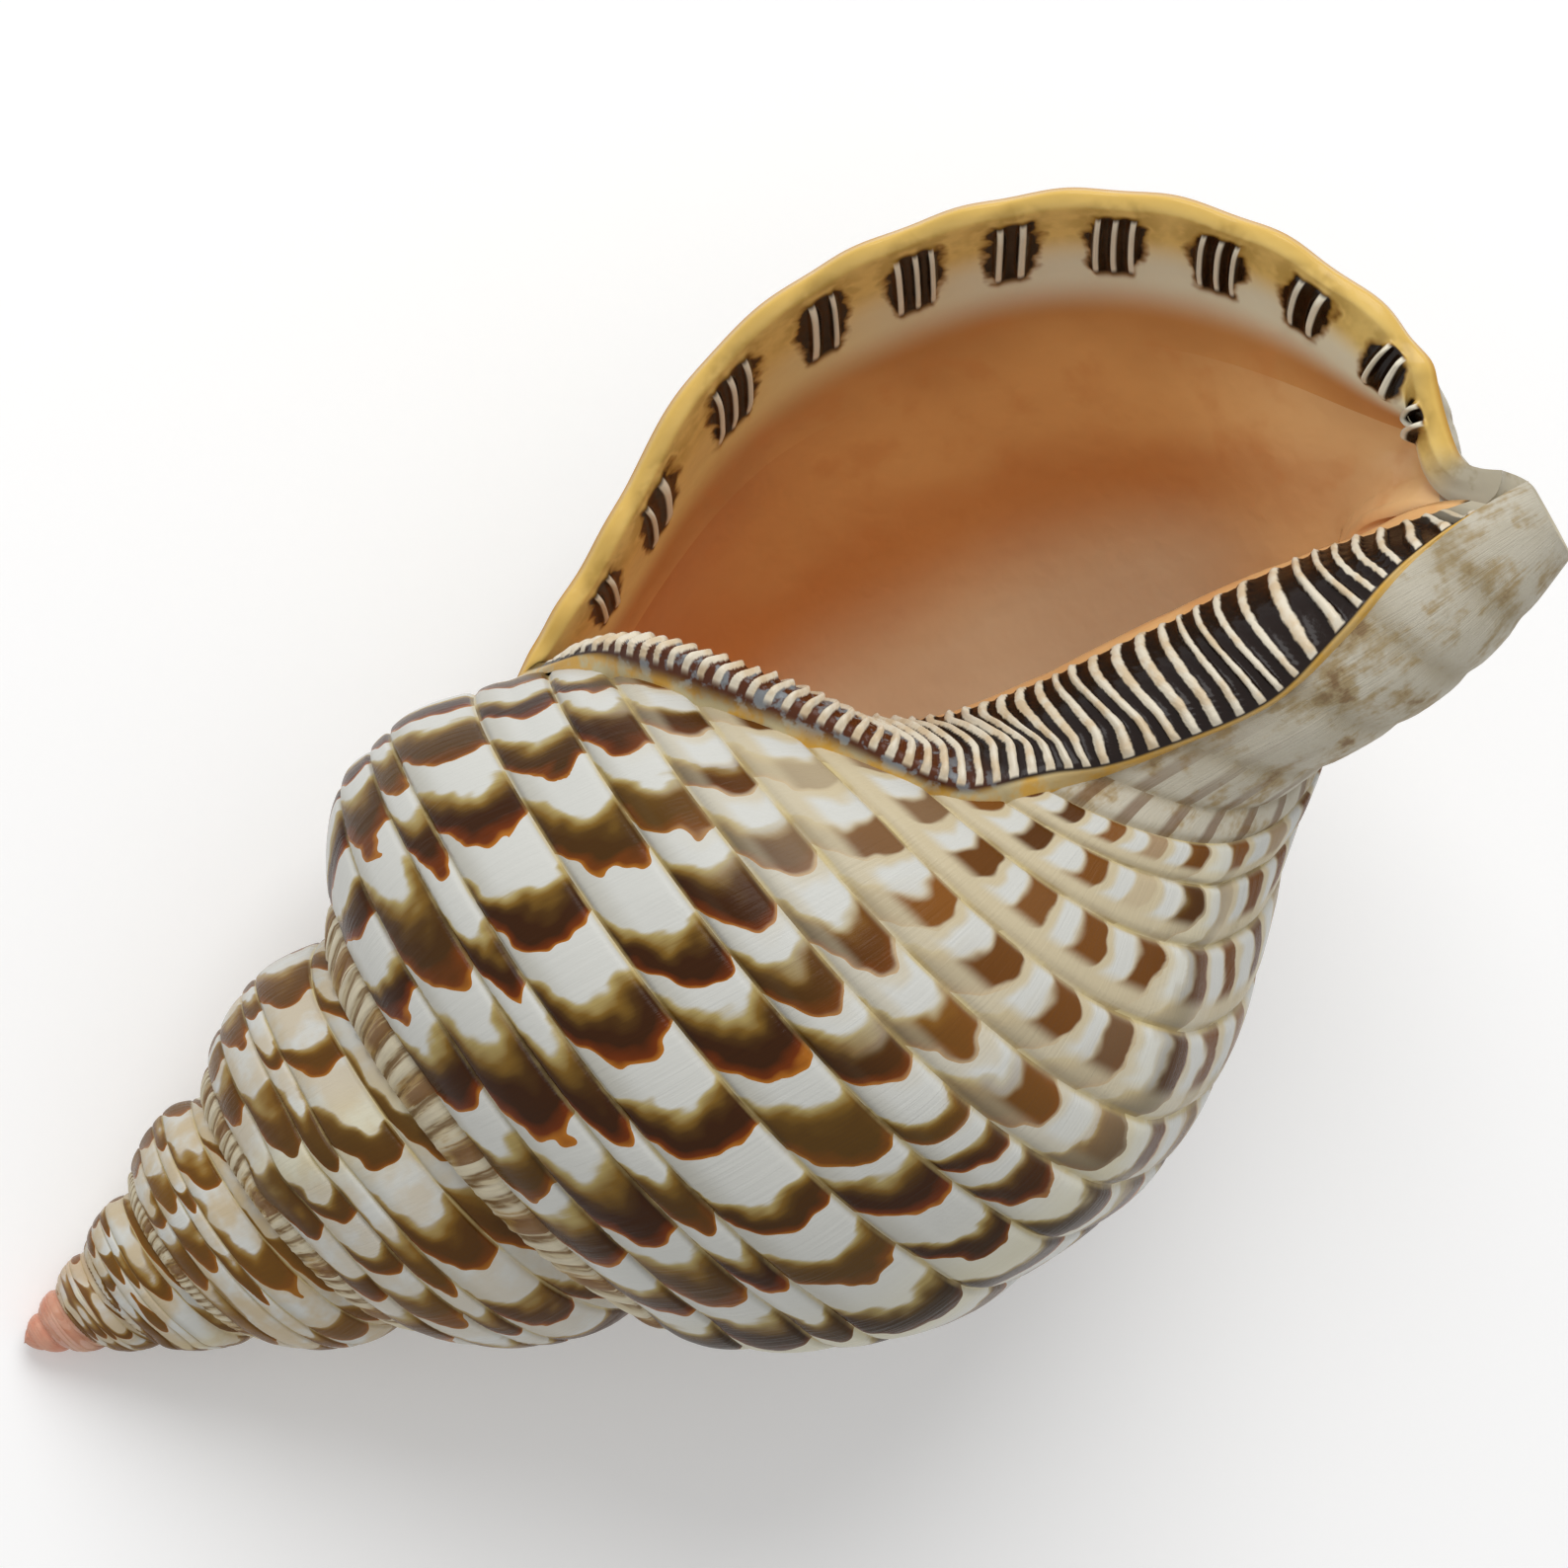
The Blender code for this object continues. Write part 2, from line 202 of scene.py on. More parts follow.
def sectionAt(angle):
    # the 14 outline points at each angle: whorl blended to lip and shoulder, times the growth, then neck
    scale = growthAt(angle)[None, :, None]
    flare = ease(form["flareFrom"], 0, angle)[None, :, None]
    whorl = np.array(form["whorl"])[:, None] * (1 - flare) + np.array(form["lip"])[:, None] * flare
    broad = np.exp(-((angle - form["shoulderAngle"]) / form["shoulderWidth"])**2)[None, :, None]
    whorl[1:5] = whorl[1:5] * (1 - broad) + np.array(form["shoulder"])[:, None] * broad
    whorl = whorl * scale
    whorl[0] = sutureAt(angle)
    below = ease(math.radians(-300), -oneTurn, angle)[:, None]
    whorl[coveredRow] = whorl[coveredRow] * (1 - below) + sutureAt(angle + oneTurn) * below
    root = whorl[rootRow, :, 1]
    along = root + (1 - root) * np.array(form["neckSteps"])[:, None]
    side = form["neckSide"][0] + form["neckSide"][1] * (0.5 - 0.5 * np.cos(angle))
    radius = smoothTable(along, form["neckDistance"], form["neckRadius"]) * side
    neck = np.stack([radius, along], -1)
    cut = ease(form["cutFrom"], 0, angle)[None, :, None]
    neck = neck * (1 - cut) + np.array(form["neckAtLip"])[:, None] * cut
    return np.concatenate([whorl, neck])


def smoothSurface(row, angle):
    # spline across the section at that angle, placed round the axis; the first turn opens from the axis
    section = np.einsum("nk,knc->nc", splineWeights(row, 14), sectionAt(angle))
    opened = ease(-form["turns"] * oneTurn, -(form["turns"] - 1) * oneTurn, angle)
    keep = opened + (1 - opened) * np.clip(row / coveredRow, 0, 1)
    return placeAt(section[:, 0] * keep, section[:, 1], angle)


def varixAt(angle):
    # a bell at the lip and one at every old lip: exp(-x^2)
    lift = form["lipVarix"][1] * np.exp(-((angle - form["lipVarix"][0]) / form["varixWidth"])**2)
    for middle in np.arange(-form["varixFirst"], -form["turns"] * oneTurn, -form["varixSpacing"]):
        lift = lift + np.exp(-((angle - middle) / form["varixWidth"])**2)
    return lift


def plainSurface(row, angle):
    # the smooth surface with its varices raised along the normal (growth direction x row direction)
    shape = np.broadcast(row, angle).shape
    row, angle = (np.broadcast_to(a, shape).ravel().astype(float) for a in (row, angle))
    alongRow = smoothSurface(row + tiny, angle) - smoothSurface(row - tiny, angle)
    alongAngle = smoothSurface(row, angle + tiny) - smoothSurface(row, angle - tiny)
    normal = np.cross(alongAngle, alongRow)
    normal /= np.maximum(np.linalg.norm(normal, axis=1, keepdims=True), 1e-12)
    covered = np.where(angle < -oneTurn, row, 0)
    fade = ease(0, 1.2, row) * ease(9.5, 8.0, row) * ease(5, 4, covered)
    height = varixAt(angle) * fade * form["varixLift"] * growthAt(angle)
    points = smoothSurface(row, angle) + normal * height[:, None]
    return points.reshape(*shape, 3), normal.reshape(*shape, 3)


def innerLipCourse(row):
    # angle past the right side of the mouth where the inner lip's outer edge crosses each row
    return smoothTable(row, form["innerLipRow"], form["innerLipAngle"])


# cords: broad flat spiral ribs with narrow grooves between them
cords = {
    # rows of the grooves: crenulated band, shoulder cords, widest cord, base cords, neck cords
    "grooveRows": [0, 1.20, 2.24, 3.15, 3.65, 4.65, 5.48, 6.10, 6.60, 7.20, 7.85, 8.45, 9.0,
                   9.7, 10.4, 11.1, 11.8, 12.4, 13.0],
    "grooveDepth": 0.0035,      # shell lengths at the lip, less up the spire with the growth
    "grooveWidth": 0.0036,
    "rowLength": (0.052, 0.022),            # surface per row on the whorl and on the neck
    "crown": 0.0032,            # rise of the middle of a wide cord above its edges
    "unevenness": 0.0013,
    "growthLine": 0.00030,
    # the crenulated band below the suture: wrinkles a turn, their height, and the row where it ends
    "wrinkles": 62,
    "wrinkleHeight": 0.0036,
    "bandRow": 1.20,
}
grooveRows = np.array(cords["grooveRows"])


def cordAt(row):
    # cord number: whole at a groove, rising by one across each cord
    return np.interp(row, grooveRows, np.arange(len(grooveRows)))


def grooveAt(row):
    # 1 in the bottom of a groove, 0 on a cord: a bell over the distance to the nearest groove, which is
    # the row difference times the surface's length per row
    perRow = np.where(row < rootRow, *cords["rowLength"])
    distance = np.min(np.abs(row[..., None] - grooveRows[1:-1]), -1) * perRow
    return np.exp(-(distance / cords["grooveWidth"])**2 * 2.5)


def plaitAt(row, angle):
    # cross wrinkles of the band below the suture, 0 between them and 1 on them: |sin| of the angle
    return np.abs(np.sin(angle * cords["wrinkles"] / 2 + 0.5 * row + 1.2 * ripple(angle * 7, row * .3, 15)))


def reliefAt(row, angle):
    # height over the plain surface: -depth x groove + crown x (1 - (2f - 1)^2) + slow unevenness
    # + growth lines + wrinkles of the band, all times the growth
    cord = cordAt(row)
    share = cord - np.floor(cord)
    k = np.clip(cord.astype(int), 0, len(grooveRows) - 2)
    width = (grooveRows[k + 1] - grooveRows[k]) * np.where(row < rootRow, 1.0, 0.42)
    crown = (1 - (2 * share - 1)**2) * width
    uneven = ripple(angle * 9, row * 2.2, 11) * 0.6 + ripple(angle * 23, row * 1.3, 12) * 0.4
    lines = np.sin(angle * 150 + 2.5 * ripple(angle * 6, row, 13)) * ripple(angle * 31, row * .7, 14)
    plait = plaitAt(row, angle)
    onBand = ease(cords["bandRow"] * 1.02, cords["bandRow"] * 0.8, row)
    height = (-cords["grooveDepth"] * grooveAt(row) + cords["crown"] * crown
              + cords["unevenness"] * uneven * (1 - 0.6 * onBand) + cords["growthLine"] * lines
              + cords["wrinkleHeight"] * (plait - 0.5) * onBand)
    # quiet at the suture, at the canal's rim, at the lip's edge and where the next turn covers it
    below = ease(math.radians(-300), -oneTurn, angle)
    covered = 1 - below * ease(0.22, 0, np.abs(row - coveredRow))
    quiet = ease(13, 12.2, row) * (0.5 + 0.5 * ease(10.0, 8.6, row)) * covered
    lipEdge = 1 - ease(math.radians(-17), math.radians(-4), angle)
    return height * quiet * lipEdge * growthAt(angle) * ease(0, 0.16, row)


# the outer lip's edge, in shell lengths
lip = {
    "blotchRows": [1.6, 2.3, 3.4, 4.6, 5.45, 6.15, 6.9, 7.63, 8.27, 9.05, 10.4],  # dark blotches' middles
    "scallop": 0.0030,          # waves of the lip's edge, shell lengths
    "toothHeight": 0.0046,
    "threeTeeth": [2, 4, 6, 7],  # blotches that carry three teeth; the others carry two
}


def blotchAt(row):
    # blotch number along the outer lip: whole in the middle of a blotch, straight past both ends
    rows = np.array(lip["blotchRows"])
    number = np.interp(row, rows, np.arange(len(rows)))
    before = np.minimum(row - rows[0], 0) / (rows[1] - rows[0])
    after = np.maximum(row - rows[-1], 0) / (rows[-1] - rows[-2])
    return number + before + after


def scallopAt(row, angle):
    # how far the lip's edge stands forward: a cosine of the blotch number, quiet at both ends
    return (-lip["scallop"] * np.cos(oneTurn * blotchAt(row)) * ease(0.4, 1.2, row)
            * ease(10.2, 9.0, row) * np.exp(-(angle / math.radians(6))**2))


def forwardAt(row, angle, points):
    # unit direction of growth: the way to the surface one step on
    ahead = plainSurface(row, angle + tiny)[0] - points
    return ahead / np.maximum(np.linalg.norm(ahead, axis=-1, keepdims=True), 1e-12)


def outerSurface(row, angle):
    # plain surface + normal x relief + direction of growth x scallop
    row, angle = np.broadcast_arrays(row, angle)
    points, normal = plainSurface(row, angle)
    return (points + normal * reliefAt(row, angle)[..., None]
            + forwardAt(row, angle, points) * scallopAt(row, angle)[..., None])


# the mouth and the hollow are rings from the lip's edge inwards, numbered 0 to 8, then every 20 degrees
def ringAt(s):
    # angle of the outer wall, wall share, place across the inner lip, height, pillar share, canal size
    # and rise for ring number s
    table = np.array(form["rings"])
    values = [smoothTable(s, np.arange(len(table)), table[:, k]) for k in range(table.shape[1])]
    values[0] = np.radians(values[0] - 20 * np.maximum(s - (len(table) - 1), 0))
    return values


def hollowOuter(row, s):
    # inner face of the outer wall: surface - normal x wall, led to the corner below the suture
    angle, wallShare, _, _, fold = ringAt(s)[:5]
    row, angle, wallShare, fold = np.broadcast_arrays(row, angle, wallShare, fold)
    points, normal = plainSurface(np.minimum(row, rootRow + (tipRow - rootRow) * (1 - fold)), angle)
    edge = ease(0.9, 0, wallShare)
    points = points + normal * (reliefAt(row, angle) * edge)[..., None]
    points = points + forwardAt(row, angle, points) * (scallopAt(row, angle)
                                                       * ease(5, 0, s + 0 * row))[..., None]
    swell = np.exp(-((angle - form["lipVarix"][0]) / form["lipSwellWidth"])**2) * ease(0, 2, row)
    depth = (form["wall"] * growthAt(angle) + form["lipSwell"] * swell) * wallShare
    inside = points - normal * depth[..., None]
    scale = growthAt(angle)[..., None]
    corner = sutureAt(angle) + np.array(form["cornerShift"]) * wallShare[..., None] * scale
    corner = placeAt(corner[..., 0], corner[..., 1], angle)
    near = (1 - ease(0, 1.4, row))[..., None] * np.clip(wallShare * 3, 0, 1)[..., None]
    inside = inside * (1 - near) + corner * near
    end = placeAt(form["hollowEnd"][0] * scale[..., 0], form["hollowEnd"][1] * scale[..., 0], angle)
    past = (fold * np.clip((row - rootRow) / (tipRow - rootRow), 0, 1))[..., None]
    return inside * (1 - past) + end * past


def hollowInner(row, s):
    # inner lip over the whorl below it, turning into the pillar deeper in
    outerAngle, _, across, lift, share = ringAt(s)[:5]
    row, across, lift, share, outerAngle = np.broadcast_arrays(row, across, lift, share, outerAngle)
    angle = innerLipCourse(row) - smoothTable(row, form["innerLipWidthRow"], form["innerLipWidth"]) * across
    angle = angle * (1 - share) + np.minimum(outerAngle, 0) * share
    points, normal = plainSurface(row, angle - oneTurn)
    stands = ease(5, 6.5, row) * ease(13, 10.5, row)
    rise = form["ridgeLift"] + form["wallLift"] * np.exp(-((row - 6.6) / 0.9)**2)
    height = lift * rise * stands + reliefAt(row, angle - oneTurn) * ease(0.5, 0, lift)
    inside = points + normal * height[..., None]
    scale = growthAt(np.minimum(angle, 0))[..., None]
    section = splineWeights((row - coveredRow).ravel(), 9) @ np.array(form["pillar"])
    section = section.reshape(row.shape + (2,)) * scale
    stray = sutureAt(angle) - np.array(form["whorl"][0]) * growthAt(angle)[..., None]
    section = section + stray * ease(7, 5, row)[..., None]
    pillar = placeAt(section[..., 0], section[..., 1], angle)
    return inside * (1 - share[..., None]) + pillar * share[..., None]


def mouthRings(outerRows, innerRows, rim, s):
    # the closed loop of the mouth at each ring: outer wall, canal tip, inner lip back to the suture
    outer = hollowOuter(outerRows[:, None], s[None])
    inner = hollowInner(innerRows[:, None], s[None])
    share, size, rise = (v[None, :, None] for v in ringAt(s)[4:])
    middle = rim.mean(0)
    spread = (rim - middle)[:, None] * (np.array([1, 1, 0]) * size + np.array([0, 0, 1]))
    tip = middle + spread + np.array([0, 0, 1]) * rise
    start = tip[:1] * (1 - share) + outer[-1:] * share
    end = tip[-1:] * (1 - share) + inner[:1] * share
    outer = outer + ease(9.5, 13, outerRows)[:, None, None] * (start - outer[-1:])
    inner = inner + ease(9.5, 13, innerRows)[:, None, None] * (end - inner[:1])
    u = np.linspace(0, 1, len(rim))[:, None, None]
    tip = tip * (1 - share) + (start * (1 - u) + end * u) * share
    # the inner lip runs out into the suture's corner
    away = ease(5, 5.8, innerRows)[:, None, None]
    return outer, tip, inner * away + outer[:1] * (1 - away)


# pieces are grids of points with their map coordinates; here are their samples a turn
detail = {"bandTurn": 1000, "turn": 400, "lastTurn": 340, "tipTurn": 200}
pieces = {}


def nearGroove(row):
    # samples crowd at the grooves, where the surface bends most
    distance = np.min(np.abs(row[:, None] - grooveRows[None, 1:-1]), 1)
    return 1 + 2.2 * np.exp(-(distance / 0.10)**2)


def rowSamples(start, end, count):
    # rows from start to end with every groove met exactly, so that no face straddles two cords
    rows = spreadSamples(start, end, count, nearGroove)
    for groove in grooveRows[(grooveRows > start + 1e-6) & (grooveRows < end - 1e-6)]:
        rows[np.argmin(np.abs(rows - groove))] = groove
    return rows


def gridNormals(points):
    # unit cross product of the grid's two directions
    down, along = np.gradient(points, axis=0), np.gradient(points, axis=1)
    normal = np.cross(along, down)
    return normal / np.maximum(np.linalg.norm(normal, axis=-1, keepdims=True), 1e-12)


def cornersOf(grid):
    # the four corners of every face of a grid, in face order
    return np.stack([grid[:-1, :-1], grid[:-1, 1:], grid[1:, 1:], grid[1:, :-1]], 2)


def addPiece(name, points, uvCorners, zones, tones, material, closed=False):
    # keeps a piece for later: all are shifted together once the lowest point is known
    zeros = np.zeros(points.shape[:2])
    layers = {"zones": np.stack([z + zeros for z in zones], -1),
              "tones": np.stack([t + zeros for t in tones], -1)}
    pieces[name] = {"points": points, "uv": uvCorners, "layers": layers, "material": material,
                    "closed": closed}
    print("made", name, points.shape[:2])


# pattern of the brown squares: where they end along the growth, in degrees, on the cords of the last
# turn; elsewhere their spacing follows the growth
squares = {
    "spacing": 17.8,            # degrees, at the angle below
    "spacingAngle": -270,
    "ends": {1: [-309, -290, -268, -249, -231, -214], 2: [-323, -290, -259, -235],
             3: [-306, -281, -253, -236], 4: [-305, -283, -263, -245, -229, -215],
             5: [-310, -289, -268, -250, -233, -219, -206],
             6: [-309, -289, -271, -255, -240, -227, -219, -209],
             8: [-271, -255, -239, -223, -209], 9: [-273, -256, -240, -224, -208]},
    "shuffle": 0.25,            # how unlike two neighbouring cords are elsewhere, in squares
}


def squarePhase(cord, angle):
    # number of brown squares passed along the growth: the integral of growth / spacing, bent so that
    # whole numbers fall on the ends listed for the cord, with a slow seeded wander elsewhere
    perTurn = math.log(form["growthPerTurn"])
    scale = 360 / perTurn / squares["spacing"]
    degrees = np.degrees(angle)
    even = scale * np.exp(perTurn * (degrees - squares["spacingAngle"]) / 360)
    ends = np.array(squares["ends"].get(cord, []), float)
    wander = squares["shuffle"] * ripple(angle * 3, 7.0 * cord + 0 * angle, 30 + cord)
    if len(ends) == 0:
        return even + wander
    evenEnds = scale * np.exp(perTurn * (ends - squares["spacingAngle"]) / 360)
    numbers = round(evenEnds[0]) + np.arange(len(ends))
    listed = ease(ends[0] - 60, ends[0] - 10, degrees)
    return even + np.interp(degrees, ends, numbers - evenEnds) * listed + wander * (1 - listed)


def outerMap(row, angle):
    # map corners of an outer grid: squares passed, and the cord number; every face keeps to one cord
    cord = np.floor(cordAt((row[:-1] + row[1:]) / 2)).mean(1).astype(int)
    u = np.zeros((row.shape[0] - 1, row.shape[1] - 1, 4))
    for k in np.unique(cord):
        here = np.nonzero(cord == k)[0]
        phase = squarePhase(k, angle[here[0]:here[-1] + 2])
        u[here] = cornersOf(phase)
    return np.stack([u, cornersOf(cordAt(row))], -1)


def outerZones(row, angle):
    # red: base and neck; green: old lips; blue: grooves; alpha: the worn first turns
    base = ease(5.5, 7.2, row)
    worn = ease(math.radians(-4.5 * 360), math.radians(-6.2 * 360), angle)
    return base, np.clip(varixAt(angle), 0, 1), grooveAt(row), worn


def outerTones(row, angle):
    # red: the lip's edge; green: warmer up the spire; blue: strength of the squares; alpha: wrinkles
    edge = ease(math.radians(-14), math.radians(-4), angle)
    warm = ease(math.radians(-380), math.radians(-820), angle)
    return edge, warm, ease(math.radians(-12), math.radians(-30), angle), plaitAt(row, angle)


def outerPiece(name, row, angle, material):
    # a piece of the outer surface over a grid of rows by angles
    row, angle = np.broadcast_arrays(row, angle)
    addPiece(name, outerSurface(row, angle), outerMap(row, angle), outerZones(row, angle),
             outerTones(row, angle), material)


bandRows = np.linspace(0, cords["bandRow"], 15)
upperRows = rowSamples(cords["bandRow"], coveredRow, 128)
lowerRows = rowSamples(coveredRow, rootRow, 112)
neckRows = rowSamples(rootRow, tipRow, 60)
spireRows = rowSamples(cords["bandRow"], coveredRow, 100)
tipRows = rowSamples(0, coveredRow, 62)

# the band of fine cross wrinkles below the suture, three turns long
outerPiece("suture_band", bandRows[:, None],
           np.linspace(-3 * oneTurn, 0, 3 * detail["bandTurn"] + 1)[None], "wrinkled band")
# the last turn from that band to the root of the neck, and the neck with its canal
lastTurn = spreadSamples(0, 1, detail["lastTurn"] + 1, lambda u: 1 + 1.6 * np.exp(-((1 - u) / 0.03)**2))


def lastTurnAngle(row):
    # from the inner lip's course a turn back, or the suture a turn back, round to the lip's edge
    start = np.where(row > coveredRow, innerLipCourse(row), 0) - oneTurn
    return start[:, None] * (1 - lastTurn)


bodyRows = np.concatenate([upperRows, lowerRows[1:]])
outerPiece("body_whorl", bodyRows[:, None], lastTurnAngle(bodyRows), "patterned shell")
outerPiece("canal", neckRows[:, None], lastTurnAngle(neckRows), "chalky neck")
# two turns above it, and the first turns with the worn tip
outerPiece("spire", spireRows[:, None],
           np.linspace(-3 * oneTurn, -oneTurn, 2 * detail["turn"] + 1)[None], "patterned shell")
outerPiece("spire_tip", tipRows[:, None],
           np.linspace(-form["turns"] * oneTurn, -3 * oneTurn, 5 * detail["tipTurn"] + 1)[None],
           "patterned shell")
print("outer pieces made")

# mouth pieces: outer lip with its teeth, ribbed inner lip, canal tip, and the hollow
mouth = {
    "lipEnd": 5.4,              # ring number where the lip pieces end and the hollow begins
    "lipRings": 72,
    "ribSpacing": [3.4, 2.7, 2.8, 3.9, 4.4],       # millimetres, at rows 5, 7, 9, 11, 13
    "ribHeight": 0.0042,        # shell lengths
    "ribLean": 0.85,            # 1 stands square to the lip, 0 keeps to the growth
}
outerRows = np.concatenate([bandRows, bodyRows[1:], neckRows[1:]])
innerRows = np.concatenate([lowerRows, neckRows[1:]])[::-1]
fineRows = np.interp(np.arange(4 * len(innerRows) - 3) / 4, np.arange(len(innerRows)), innerRows)
rim = outerSurface(np.full((1, 1), tipRow), lastTurnAngle(np.array([tipRow])))[0][::-1]
lipStops = np.linspace(0, 1, mouth["lipRings"])**1.15 * mouth["lipEnd"]
deepest = 8 + (math.radians(-64) + form["deepTurns"] * oneTurn) / math.radians(20)
deepStops = np.concatenate([np.linspace(mouth["lipEnd"], 8, 22), np.linspace(8, deepest, 60)[1:]])


def teethAt(blotch):
    # two or three narrow ridges in each dark blotch: bells at even distances about its middle
    number = np.round(blotch)
    three = np.isin(number, lip["threeTeeth"])
    aside = blotch - number
    bells = [np.exp(-((aside - place) / width)**2) * use for place, width, use in
             ((-0.115, 0.045, ~three), (0.115, 0.045, ~three),
              (-0.17, 0.036, three), (0.0, 0.036, three), (0.17, 0.036, three))]
    onLip = (blotch > -0.5) & (blotch < len(lip["blotchRows"]) - 0.5)
    return np.max(bells, 0) * onLip


def teethReach(blotch, s):
    # how far across the lip the teeth stand: rings 2.2 to 4.4, further out near the canal
    outward = 0.5 * ease(8.2, 9.4, blotch)
    return ease(2.2 - outward, 2.8 - outward, s) * ease(4.4, 3.7, s)


def meetNeighbours(points, finer):
    # on the first and last ring the added samples stand on straight lines between the shared ones
    count = len(points)
    for ring in (0, -1):
        for axis in range(3):
            points[:, ring, axis] = np.interp(np.arange(count), np.arange(0, count, finer),
                                              points[::finer, ring, axis])
    return points


fineOuter = np.sort(np.concatenate([outerRows, (outerRows[1:] + outerRows[:-1]) / 2]))
outerLip = meetNeighbours(mouthRings(fineOuter, innerRows, rim, lipStops)[0], 2)
row, ring = np.broadcast_arrays(fineOuter[:, None], lipStops[None])
teeth = teethAt(blotchAt(row))
# teeth stand higher near the canal
bigger = 1 + 0.9 * ease(8.4, 9.2, blotchAt(row))
lift = lip["toothHeight"] * teeth * bigger * teethReach(blotchAt(row), ring)
outerLip = outerLip + gridNormals(outerLip) * lift[..., None]
addPiece("outer_lip", outerLip, cornersOf(np.stack([ring, blotchAt(row)], -1)),
         (ease(10.9, 12, row), ease(0.5, 0, row) * ease(2, 3, ring), teeth, 0),
         (teethReach(blotchAt(row), ring), 0, 0, 0), "porcelain lip")

canalTip = mouthRings(outerRows, innerRows, rim, lipStops)[1]
across, ring = np.broadcast_arrays(np.linspace(0, 1, len(rim))[:, None], lipStops[None])
addPiece("canal_tip", canalTip, cornersOf(np.stack([ring, -8 - across], -1)), (1, 0, 0, 0),
         (0, 0, 0, 0), "porcelain lip")

innerLip = meetNeighbours(mouthRings(outerRows, fineRows, rim, lipStops)[2], 4)
row, ring = np.broadcast_arrays(fineRows[:, None], lipStops[None])
across = ringAt(ring)[2]
ridge = innerLip[:, np.argmin(np.abs(lipStops - 2.5))]
along = np.gradient(ridge, axis=0)
along = -along / np.linalg.norm(along, axis=1, keepdims=True)
millimetre = 1 / 1000 / form["length"]
step = np.linalg.norm(np.diff(ridge, axis=0), axis=1) / millimetre
# millimetres along the lip from the suture's end, and ribs passed: the integral of 1 / spacing
passed = np.concatenate([[0], np.cumsum(step[::-1])])[::-1]
spacing = np.interp(fineRows, [5, 7, 9, 11, 13], mouth["ribSpacing"])
ribsPassed = np.concatenate([[0], np.cumsum((step / spacing[1:])[::-1])])[::-1]
# a rib leans by the share of the inward step that runs along the lip, so that it crosses it squarely
inwards = innerLip[:, np.argmin(np.abs(across[0] - 1.2))] - innerLip[:, np.argmin(np.abs(across[0] - 0.1))]
lean = (inwards * along).sum(1) / millimetre / 1.1 * mouth["ribLean"]
lean = np.convolve(np.pad(lean, 90, "edge"), np.ones(181) / 181, "valid")[:, None]
place = passed[:, None] + lean * across
ribNumber = np.interp(place, passed[::-1], ribsPassed[::-1])
ribNumber = ribNumber + np.minimum(place, 0) / spacing[-1] + 0.16 * ripple(row * 5, across * 2, 21)
ribNumber = ribNumber + 0.30 * ripple(row * 6, across * 1.3, 25) * ease(9, 10.5, row)


def ribAt(number):
    # rounded crests, one at each whole number, of uneven height: max(0, cos)^0.7 of the rib number
    crest = np.maximum(np.cos(oneTurn * number), 0)**0.7
    return crest * (0.88 + 0.12 * ripple(np.round(number) * 2.1, 0 * number, 22))


# ribs start nearer the edge where the lip crosses the whorl wall
wall = ease(8.8, 7.8, row) * ease(5.7, 6.4, row)
start = 0.12 - 0.09 * wall
span = (ease(start, start + 0.18, across) * ease(1.62, 1.45, across) * ease(13, 12.6, row)
        * ease(5.3, 6.0, row))
innerLip = innerLip + gridNormals(innerLip) * (mouth["ribHeight"] * ribAt(ribNumber) * span)[..., None]
# half a rib's width as a share of their spacing, finer by the canal
halfWidth = (0.23 - 0.08 * ease(9.8, 11.6, row) + 0.03 * ripple(np.round(ribNumber) * 1.7, 0 * row, 24))
addPiece("inner_lip", innerLip, cornersOf(np.stack([across, ribNumber], -1)),
         (wall, ease(12.6, 13, row), span, 0), (halfWidth, 0, 0, 0), "ribbed lip")
print("lips made with", int(ribNumber.max()), "ribs")

outerHollow, tipHollow, innerHollow = mouthRings(outerRows, innerRows, rim, deepStops)
hollow = np.concatenate([outerHollow, tipHollow[1:-1], innerHollow[:-1]])
loop = np.concatenate([outerRows, np.full(len(rim) - 2, tipRow), innerRows[:-1]])[:, None]
ring = deepStops[None] + 0 * loop
onOuter = (np.arange(len(loop)) < len(outerRows))[:, None]
number = np.where(onOuter, blotchAt(loop), -8.0) + 0 * ring
# a pale patch on the far wall, a redder one by the suture, a lighter one by the canal
pale = onOuter * ease(7.0, 8.3, ring) * ease(18, 12, ring) * ease(1.2, 3.2, loop) * ease(8.6, 6.8, loop)
reddish = onOuter * ease(5.4, 2.0, loop) * ease(13, 9, ring)
light = onOuter * ease(6.8, 9.4, loop) * ease(14, 9, ring) + 0.6 * ~onOuter
grid = np.stack([ring, number], -1)
addPiece("hollow", hollow, cornersOf(np.concatenate([grid, grid[:1]])), (0, pale, 0, 0),
         (0, 0, reddish, light), "porcelain lip", closed=True)

# laying the shell down: turned to its rest, scaled, and moved so that its lowest point meets the floor
turned = (Matrix.Rotation(form["restPitch"], 3, "Y") @ Matrix.Rotation(form["restSpin"], 3, "Z"))
turned = np.array(turned) * form["length"]
for piece in pieces.values():
    piece["points"] = piece["points"] @ turned.T
low = np.min([piece["points"].reshape(-1, 3).min(0) for piece in pieces.values()], 0)
high = np.max([piece["points"].reshape(-1, 3).max(0) for piece in pieces.values()], 0)
shift = (np.array(cadBox[0]) + np.array(cadBox[1]) - low - high) / 2
shift[2] = cadBox[0][2] - low[2]


